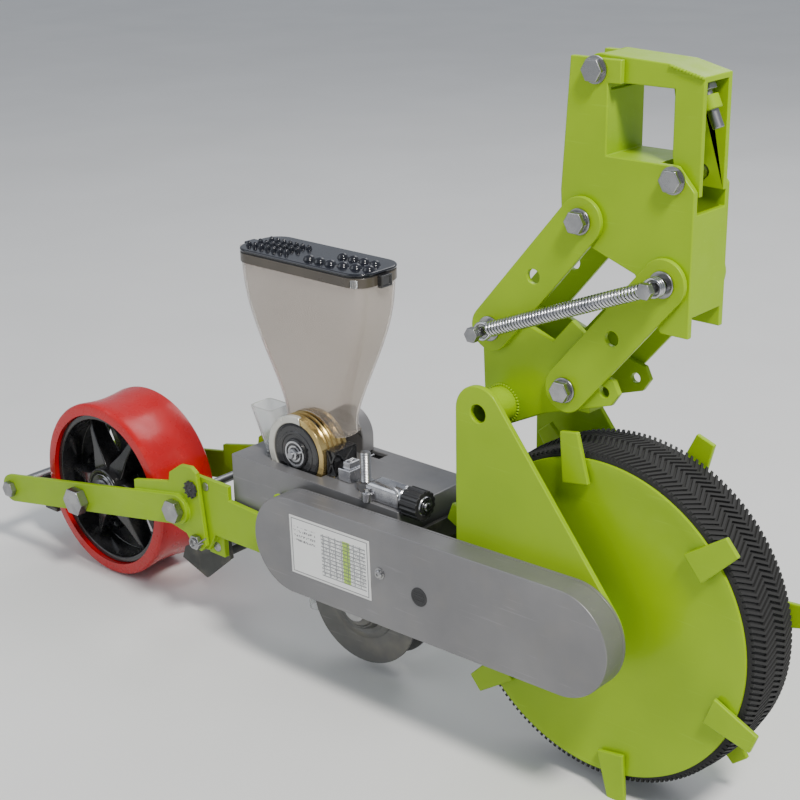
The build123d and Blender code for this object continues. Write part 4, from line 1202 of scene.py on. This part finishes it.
@dataclass
class SeedMeter:
    """Seed meter with its roller, end ring, brush block and spout."""

    centre: Point = (-414.9, 0.0, -401.1)
    deck: float = -418.0

    def build(self) -> None:
        """Build the shell, the roller's face and the pieces beside it."""
        edge_all(Coat.BRASS, "brass_colour", meter_housing=0.5)
        edge_all(Coat.BLACK, "black_plastic", metering_roller=0.4)
        edge_all(Coat.STEEL, "bare_steel", roller_shaft=0.6)
        edge_all(Coat.CLEAR, "clear", cleanout_spout=0.6)
        rings = [(33.8, -40.3), (34.6, -41.2), (41.2, -41.2), (42.2, -40.2), (42.2, -35.8), (33.8, -35.8)]
        ring = turned("end_ring", self.centre, rings, 96, loop=True)
        cut_off(ring, Vector(self.centre) + Vector((16, 0, 0)), (1, 0, 0.25), clear_outer=True, use_fill=True)
        mount(ring, "frame", Coat.CREAM)
        self.ridges()
        self.roller_face()
        self.brush_block()
        self.bright_block()

    def ridges(self) -> None:
        """Build rounded ridges round the shell."""
        rings = [(39.6, 0), (41.8, 0.6), (42.3, 1.6), (41.8, 2.6), (39.6, 3.2)]
        ridges = [
            turned(f"ridge_{y}", self.centre, [(radius, y + along) for radius, along in rings], 84, loop=True)
            for y in (-33.6, -26.6, -19.6, -12.6)
        ]
        shell = joined("shell_ridges", ridges)
        cut_off(shell, Vector(self.centre) + Vector((0, 0, 6)), (-0.35, 0, 1), clear_inner=True)
        mount(smooth(shell), "frame", Coat.BRASS)

    def roller_face(self) -> None:
        """Build the roller's ringed end face, its bright rings, pin and nut."""
        rings = [
            (33, -38.9), (33, -40.0), (31.4, -40.5), (30.6, -39.9), (25, -39.9), (24.2, -40.7), (21.6, -40.7),
            (20.8, -40.0), (17, -40.0), (16.2, -42.3), (15.6, -42.6), (15.0, -42.2), (8, -42.2),
        ]
        face = turned("roller_face", self.centre, rings, 84)
        mount(face, "seed_roller", Coat.BLACK_GLOSS)
        outer = [(12.2, -42.1), (12.2, -43.0), (14.2, -43.0), (14.2, -42.1)]
        inner = [(7.4, -42.1), (7.4, -43.2), (9.4, -43.2), (9.4, -42.1)]
        bright = [
            turned("bright_ring_a", self.centre, outer, 60, loop=True),
            turned("bright_ring_b", self.centre, inner, 48, loop=True),
            turned("face_nut", self.centre, [(7.0, -43.0), (7.0, -46.6), (5.0, -47.4), (4.2, -47.4)], 6),
        ]
        x, _, z = self.centre
        pin = boxed("face_pin", (x + 5, -45.0, z - 1.3), (x + 15.5, -43.2, z + 1.3))
        turn_about(soften(pin, 0.5), self.centre, "Y", -24)
        mount(joined("roller_brightwork", [*bright, pin]), "seed_roller", Coat.CAST)

    def brush_block(self) -> None:
        """Build the black block with crossed ribs in sunk faces."""
        x, _, _ = self.centre
        low = (x + 42.0, -36.0, self.deck)
        high = (x + 54.0, -2.0, self.deck + 30.0)
        block = boxed("cross_ribbed_block", low, high)
        for out in (Vector((1, 0, 0)), Vector((0, -1, 0))):
            pick_faces(block, lambda centre, normal: normal.dot(out) > 0.9)
            inset(1.6)
            bpy.ops.transform.translate(value=out * -2.4 * MM)
            done()
        soften(block, 0.4)
        bars = []
        for turn in (-62, 62):
            bar = boxed(f"cross_bar_{turn}", (x + 46.9, -35.6, self.deck + 1.5), (x + 49.1, -33.2, self.deck + 28.5))
            bars.append(turn_about(soften(bar, 0.3), (x + 48, -35, self.deck + 15), "Y", turn / 2.6))
            wide = boxed(f"wide_bar_{turn}", (x + 51.2, -20.1, self.deck - 1), (x + 53.6, -17.9, self.deck + 31))
            bars.append(turn_about(soften(wide, 0.3), (x + 52, -19, self.deck + 15), "X", turn * 0.72))
        mount(joined("cross_ribbed_block", [block, *bars]), "frame", Coat.BLACK_GLOSS, ["brush_block"])

    def bright_block(self) -> None:
        """Build the bright stepped fitting in front of the brush block."""
        x, _, _ = self.centre
        block = boxed("bright_block", (x + 58, -36, self.deck), (x + 76, -12, self.deck + 14))
        pick_faces(block, lambda centre, normal: normal.z > 0.9)
        inset(4)
        extrude(0, 0, 7)
        inset(2)
        extrude(0, 0, -4)
        done()
        mount(soften(block, 1.0, 3), "frame", Coat.CAST)


@dataclass
class Hopper:
    """Smoked hopper with its dark lid."""

    x: float = -412.9
    mouth: float = -191.5
    wall: float = 2.4
    corner: float = 16.0
    saddle_radius: float = 42.6
    levels: tuple[tuple[float, float, float], ...] = (
        (44, 20, -381.0), (44, 20, -362.0), (54, 22.5, -333.0), (66, 26, -304.0), (79, 28.8, -272.0),
        (88.5, 31.2, -241.0), (91.6, 31.8, -211.0), (92, 32, -191.5),
    )
    lid_half: Place = (95.0, 35.0)
    lid_corner: float = 23.0
    skirt_low: float = -203.0
    skirt_wall: float = 2.0
    skirt_end: float = 92.6
    seam: float = -193.0
    lid_top: float = -188.0

    def build(self) -> None:
        """Build the body and the lid."""
        self.body()
        self.lid()

    def body(self) -> None:
        """Build the flared body from its neck upwards, open at both ends."""
        half, width, low = self.levels[0]
        top = self.levels[1][2]
        shell = boxed("hopper_shell", (self.x - half, -width, low), (self.x + half, width, top))
        for before, after in zip(self.levels[1:], self.levels[2:]):
            pick_faces(shell, lambda centre, normal: normal.z > 0.9)
            extrude(0, 0, after[2] - before[2])
            grow = (after[0] / before[0], after[1] / before[1], 1)
            bpy.ops.transform.resize(value=grow, center_override=(self.x * MM, 0, after[2] * MM))
            done()
        drop_faces(shell, lambda centre, normal: abs(normal.z) > 0.95)
        bevelled(shell, self.corner, 6, 60)
        applied(shell, "SUBSURF", levels=2, render_levels=2)
        walled(shell, self.wall)
        self.saddle(shell)
        lugs = [
            soften(boxed(f"lug_{y}", (self.x - 104, y, self.mouth - 15), (self.x - 89.5, y + 6, self.mouth)), 1.2)
            for y in (-14, 8)
        ]
        rim = boxed("neck_shelf", (self.x - 41, -1.6, -381), (self.x + 41, 18, -378))
        body = smooth(joined("hopper_body", [shell, *lugs, soften(rim, 0.6)]), 50)
        mount(body, "frame", Coat.SMOKE, ["hopper"])

    def saddle(self, shell: Obj) -> None:
        """Cut the neck to the round top of the meter.

        Args:
            shell: the hopper body.
        """
        cutter = turned("saddle_cutter", SeedMeter.centre, [(self.saddle_radius, -45), (self.saddle_radius, -1.7)], 96)
        applied(shell, "BOOLEAN", object=cutter, operation="DIFFERENCE")
        bpy.data.objects.remove(cutter)

    def slab(self, name: str, low: float, high: float, shrink: float) -> Obj:
        """Round-cornered slab of the lid's outline.

        Args:
            name: name of the slab.
            low: its lowest height.
            high: its top.
            shrink: how far it is inside the outline.

        Returns:
            The slab.
        """
        half, width = self.lid_half[0] - shrink, self.lid_half[1] - shrink
        slab = boxed(name, (self.x - half, -width, low), (self.x + half, width, high))
        editing(slab, "EDGE", "DESELECT")
        done()
        for edge in slab.data.edges:
            ends = [slab.data.vertices[i].co for i in edge.vertices]
            edge.select = abs(ends[0].z - ends[1].z) > 0.5 * (high - low) * MM
        bpy.ops.object.mode_set(mode="EDIT")
        bpy.ops.mesh.bevel(offset=(self.lid_corner - shrink) * MM, segments=10, affect="EDGES")
        done()
        return slab

    def lid(self) -> None:
        """Build the skirt, the black seam, the dark top with its domes, and the latch."""
        skirt = self.slab("lid_skirt", self.skirt_low, self.seam, 0.4)
        drop_faces(skirt, lambda centre, normal: abs(normal.z) > 0.9)
        walled(skirt, self.skirt_wall)
        cut_off(skirt, (self.x - self.skirt_end, 0, 0), (1, 0, 0), clear_inner=True, use_fill=True)
        mount(soften(skirt, 0.4), "lid", Coat.SKIRT)
        seam = self.slab("lid_seam", self.seam - 0.2, self.seam + 1.4, 1.4)
        mount(soften(seam, 0.3), "lid", Coat.BLACK)
        top = self.slab("lid_plate", self.seam + 1.4, self.lid_top, 0.2)
        soften(top, 1.6, 3)
        tongue = boxed("tongue", (self.x - 103.5, -7.5, self.mouth - 6.5), (self.x - 93, 7.5, self.lid_top - 1))
        mount(joined("lid_plate", [top, soften(tongue, 1.0), *self.domes()]), "lid", Coat.LID, ["hopper_lid"])
        self.latch()

    def dome(self, name: str, at: Place, radius: float) -> Obj:
        """One low glossy dome with a foot ring.

        Args:
            name: name of the dome.
            at: its place on the lid.
            radius: its radius.

        Returns:
            The dome.
        """
        foot = (at[0], 0, self.lid_top)
        shares = ((1, 1.0), (1, -0.4), (0.9, -1.2), (0.88, -2.0), (0.72, -3.6), (0.42, -4.7), (0.08, -5.1))
        dome = turned(name, foot, [(radius * share, along) for share, along in shares], 22)
        return moved(smooth(turn_about(dome, foot, "X", -90), 50), (0, at[1], 0))

    def domes(self) -> list[Obj]:
        """Large domes along the near front edge, and small ones at the rear.

        Returns:
            The domes.
        """
        made = []
        for number in range(6):
            made.append(self.dome(f"dome_{number}", (self.x + 84 - 15.2 * number, -10 - 3.0 * min(number, 3)), 6.6))
        for number in range(4):
            made.append(self.dome(f"dome_far_{number}", (self.x + 76 - 15.2 * number, 8), 6.2))
        for row in range(3):
            for number in range(7):
                at = (self.x - 84 + 9.5 * number + 3 * row, -18 + 14 * row)
                made.append(self.dome(f"bump_{row}_{number}", at, 3.4))
        return made

    def latch(self) -> None:
        """Build the black latch block and the clear tab at the front end."""
        x = self.x + self.lid_half[0]
        block = boxed("latch_block", (x - 0.6, -9, self.skirt_low - 2), (x + 5.6, 7, self.seam + 1))
        pick_faces(block, lambda centre, normal: normal.x > 0.9)
        inset(2)
        extrude(-1.4, 0, 0)
        done()
        mount(soften(block, 0.6), "lid", Coat.BLACK_GLOSS)
        near = -self.lid_half[1]
        tab = boxed("latch_tab", (x - 14, near - 0.4, self.skirt_low + 1), (x - 7, near + 4, self.seam - 1))
        mount(soften(tab, 0.7), "lid", Coat.CLEAR)


@dataclass
class DeckFittings:
    """Threaded stud, cast clamp and adjusting knob on the deck."""

    stud: Place = (-318.0, -34.0)
    deck: float = -418.0
    thread_pitch: float = 1.75
    clamp: Place = (-302.0, -256.0)
    knob_y: float = -42.0

    def build(self) -> None:
        """Build the fittings."""
        mount(self.threaded_stud(), "frame", Coat.ZINC)
        mount(joined("deck_casting", self.casting()), "frame", Coat.CAST, ["deck_fittings"])
        edge_all(Coat.BLACK, "black_plastic", adjust_knob=0.5)
        self.knob_ring()

    def threaded_stud(self) -> Obj:
        """Stud with a real thread profile and a nut at its foot.

        Returns:
            The stud.
        """
        rings = [(5.2, 0.0)]
        turns = int(41 / self.thread_pitch)
        for number in range(turns):
            rings += [(5.25, -number * self.thread_pitch - 0.45), (5.95, -(number + 0.5) * self.thread_pitch - 0.45)]
        rings += [(4.9, -41.6), (0.4, -42.0)]
        foot = (self.stud[0], 0, self.deck)
        stud = turned("stud", foot, rings, 28)
        nut = turned("stud_nut", foot, [(10.8, 0), (10.8, -8.2), (9.2, -9.0), (5.5, -9.0)], 6)
        parts = [turn_about(part, foot, "X", -90) for part in (stud, nut)]
        return moved(smooth(joined("stud", parts), 30), (0, self.stud[1], 0))

    def casting(self) -> list[Obj]:
        """Lumpy cast clamp block with a boss round the knob's screw and two ears.

        Returns:
            Its parts.
        """
        low, high = self.clamp
        block = boxed("clamp_block", (low, -53.5, self.deck), (high, -29, self.deck + 15))
        for back, rise, grow in ((0.0, 3.5, 0.82), (-2.0, 2.0, 0.55)):
            pick_faces(block, lambda centre, normal: normal.z > 0.9)
            extrude(back, 0, rise)
            middle = ((low + high) / 2 * MM, -42 * MM, self.deck * MM)
            bpy.ops.transform.resize(value=(grow, grow, 1), center_override=middle)
            done()
        soften(block, 2.2, 3)
        boss = turned("clamp_boss", (0, 0, 0), [(9.5, 0), (10.5, -1.5), (10.5, -12), (9.5, -13.5), (5.4, -13.5)], 32)
        turn_about(boss, (0, 0, 0), "Z", 90)
        moved(boss, (high - 12, self.knob_y, self.deck + 10))
        ears = []
        rings = [(6.5, 0), (6.5, -9), (5.4, -10), (3.2, -10), (3.0, -13.5), (0.4, -13.8)]
        for number, at in enumerate(((low + 6, -55), (high - 20, -27))):
            ear = turned(f"clamp_ear_{number}", (0, 0, 0), rings, 6 if number else 24)
            turn_about(ear, (0, 0, 0), "X", -90)
            ears.append(moved(smooth(ear, 30), (at[0], at[1], self.deck)))
        return [block, smooth(boss, 30), *ears]

    def knob_ring(self) -> None:
        """Build the bright ring and screw end in the knob's outer face."""
        ring = turned("knob_ring", (0, 0, 0), [(5, 0.4), (5, -1.2), (9.5, -1.2), (10.5, 0.4)], 40, loop=True)
        screw = turned("knob_screw", (0, 0, 0), [(4.2, 0.5), (4.2, -3.0), (3.4, -3.8), (0.3, -3.8)], 24)
        for part in (ring, screw):
            turn_about(part, (0, 0, 0), "Z", 90)
            moved(smooth(part, 30), (-229.0, self.knob_y, self.deck + 8))
        mount(joined("knob_brightwork", [ring, screw]), "knob", Coat.CAST)


@dataclass
class Openers:
    """Opener discs, seed tube and coverer."""

    centre: Point = (-340.0, 0.0, -566.0)
    side: float = 18.0
    toe: float = 5.0
    cap_out: float = 3.4

    def build(self) -> None:
        """Build the discs with their hub caps, and the edged pieces."""
        edge_all(Coat.DISC, "bare_steel", opener_disc_right=0.4, opener_disc_left=0.4)
        edge_all(Coat.ZINC, "zinc", opener_stubs=0.6)
        edge_all(Coat.CLEAR, "clear", seed_tube=0.3)
        edge_all(Coat.DARK, "dark_steel", coverer=0.7)
        for side, sign in (("right", -1), ("left", 1)):
            self.hub_cap(side, sign)

    def hub_cap(self, side: str, sign: int) -> None:
        """Build the stepped pressed cap round a disc's hub.

        Args:
            side: name of the side.
            sign: -1 on the right, 1 on the left.
        """
        rings = [
            (40, 0.3), (40, -0.8), (36, -2.0), (33, -2.2), (31, -1.2), (28, -1.2), (26, -7.0), (23.5, -9.5),
            (22.3, -9.5), (22.3, 0.3),
        ]
        cap = turned(f"hub_cap_{side}", (0, 0, 0), rings, 72, loop=True)
        if sign > 0:
            turn_about(cap, (0, 0, 0), "Z", 180)
        turn_about(cap, (0, 0, 0), "Z", -sign * self.toe)
        x, _, z = self.centre
        out = Vector((sin(radians(self.toe)), sign * cos(radians(self.toe)), 0)) * self.cap_out
        moved(cap, (x + out.x, sign * self.side + out.y, z))
        mount(smooth(cap, 30), f"opener_disc_{side}", Coat.DISC)


@dataclass
class PressGang:
    """Press arms, tail bar and the red press wheel."""

    centre: Point = (-760.0, 0.0, -540.0)
    spokes: int = 6

    def build(self) -> None:
        """Build the arms' edged plates and the wheel."""
        edge_all(Coat.LIME, "green_paint", press_arms=0.9)
        edge_all(Coat.ZINC, "zinc", press_axle=0.9, arm_clamp_bolts=0.9)
        edge_all(Coat.ZINC, "green_paint", tail_bar=0.7)
        edge_all(Coat.DARK, "dark_steel", scraper=0.6)
        edge_all(Coat.BLACK_GLOSS, "black_plastic", press_wheel_core=1.2)
        self.tread()
        self.ribs()
        self.bearings()

    def tread(self) -> None:
        """Build the slightly hollow red tread with rounded shoulders."""
        profile = [
            (97.1, -43.6), (105.5, -43.8), (109, -43), (111, -40.6), (111.4, -37), (109.6, -24), (108.4, -10),
            (108.2, 0), (108.4, 10), (109.6, 24), (111.4, 37), (111, 40.6), (109, 43), (105.5, 43.8), (97.1, 43.6),
        ]
        tread = turned("red_tread", self.centre, profile, 144, loop=True)
        mount(tread, "press_wheel", Coat.RED, ["press_tread"])

    def ribs(self) -> None:
        """Build the tapered ribs of the cast core on both sides."""
        x, _, z = self.centre
        sides = []
        for name, low, high in (("near", -34.0, -5.0), ("far", 5.0, 34.0)):
            rib = boxed(f"rib_{name}", (x + 24, low, z - 12), (x + 32, high, z + 12))
            for reach, grow in ((22, 0.52), (22, 0.6), (14, 0.9)):
                pick_faces(rib, lambda centre, normal: normal.x > 0.9)
                extrude(reach, 0, 0)
                bpy.ops.transform.resize(value=(1, 0.86, grow), center_override=(0, 0, z * MM))
                done()
            sides.append(around(f"ribs_{name}", soften(rib, 1.6, 3), self.centre, self.spokes))
        mount(joined("press_core_ribs", sides), "press_wheel", Coat.BLACK_GLOSS)

    def bearings(self) -> None:
        """Build the bright bearing faces in both ends of the hub."""
        faces = []
        bearing = [
            (10.4, 43.8), (12.6, 43.8), (12.9, 43.0), (16.4, 43.0), (16.8, 44.2), (20.6, 44.2), (21.6, 43.2),
            (21.6, 40), (10.4, 40),
        ]
        ring = [(24, 43.6), (24, 44.3), (26.2, 44.3), (26.2, 43.6)]
        for sign in (-1, 1):
            for name, rings in (("bearing", bearing), ("hub_ring", ring)):
                mirrored = [(radius, sign * y) for radius, y in rings]
                faces.append(turned(f"{name}_{sign}", self.centre, mirrored, 60, loop=True))
        mount(joined("bearing_faces", faces), "press_wheel", Coat.CAST, ["press_bearings"])


@dataclass
class Studio:
    """Floor, lights and camera."""

    floor: float = -0.6522
    eye: Point = (0.7467, -1.1536, 0.2549)
    target: Point = (0.1931, -0.5427, -0.0518)
    roll: float = -1.077
    lens: float = 72.27
    middle: Point = (-0.35, 0.0, -0.35)
    sky: Colour = (0.86, 0.91, 1.0)
    sky_strength: float = 0.5

    def build(self) -> None:
        """Build the studio."""
        self.floor_plane()
        self.camera()
        self.lights()

    def floor_plane(self) -> None:
        """Pale floor."""
        select_only()
        bpy.ops.mesh.primitive_plane_add(size=60, location=(0, 0, self.floor))
        plane = bpy.context.object
        plane.name = "floor"
        recipe = Recipe("pale_floor")
        drift = recipe.ramp(recipe.noise(3.0), 0.3, 0.7)
        colour = recipe.mix(drift, (0.78, 0.78, 0.77), (0.74, 0.74, 0.73))
        recipe.link(colour, recipe.shader.inputs["Base Color"])
        recipe.shader.inputs["Roughness"].default_value = 0.7
        plane.data.materials.append(recipe.material)

    def camera(self) -> None:
        """Camera near the front right corner, looking down along the unit."""
        data = bpy.data.cameras.new("camera")
        data.lens = self.lens
        data.sensor_width = 36.0
        data.clip_start = 0.01
        cam = bpy.data.objects.new("camera", data)
        bpy.context.scene.collection.objects.link(cam)
        aim = (Vector(self.target) - Vector(self.eye)).to_track_quat("-Z", "Y")
        cam.rotation_mode = "QUATERNION"
        cam.rotation_quaternion = aim @ Quaternion((0, 0, 1), radians(self.roll))
        cam.location = self.eye
        bpy.context.scene.camera = cam

    def lamp(self, name: str, at: Point, size: float, power: float, colour: Colour) -> None:
        """One soft area light aimed at the middle of the object.

        Args:
            name: name of the light.
            at: its place in metres.
            size: its width.
            power: its power in watts.
            colour: its colour.
        """
        data = bpy.data.lights.new(name, "AREA")
        data.size = size
        data.energy = power
        data.color = colour
        lamp = bpy.data.objects.new(name, data)
        bpy.context.scene.collection.objects.link(lamp)
        lamp.location = at
        lamp.rotation_mode = "QUATERNION"
        lamp.rotation_quaternion = (Vector(self.middle) - Vector(at)).to_track_quat("-Z", "Y")

    def lights(self) -> None:
        """Soft key from the upper right, fill from the left and a pale sky."""
        self.lamp("key", (1.5, -0.75, 2.2), 0.55, 120.0, (1.0, 0.97, 0.92))
        self.lamp("fill", (-2.2, -2.2, 1.2), 2.2, 26.0, (0.92, 0.96, 1.0))
        self.lamp("back", (-0.8, 2.4, 1.8), 1.6, 26.0, (1.0, 1.0, 1.0))
        world = bpy.data.worlds.new("sky")
        world.use_nodes = True
        background = world.node_tree.nodes["Background"]
        background.inputs["Color"].default_value = (*self.sky, 1.0)
        background.inputs["Strength"].default_value = self.sky_strength
        bpy.context.scene.world = world


def main() -> None:
    """Build the sub-assemblies in order."""
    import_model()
    for assembly in (
        Studio(), ToolbarClamp(), Linkage(), MainFrame(), DriveWheel(), ChainCase(), SeedMeter(), Hopper(),
        DeckFittings(), Openers(), PressGang(),
    ):
        assembly.build()
        LOG.info("built %s", type(assembly).__name__)


if __name__ == "__main__":
    logging.basicConfig(level=logging.INFO, format="%(name)s: %(message)s")
    main()
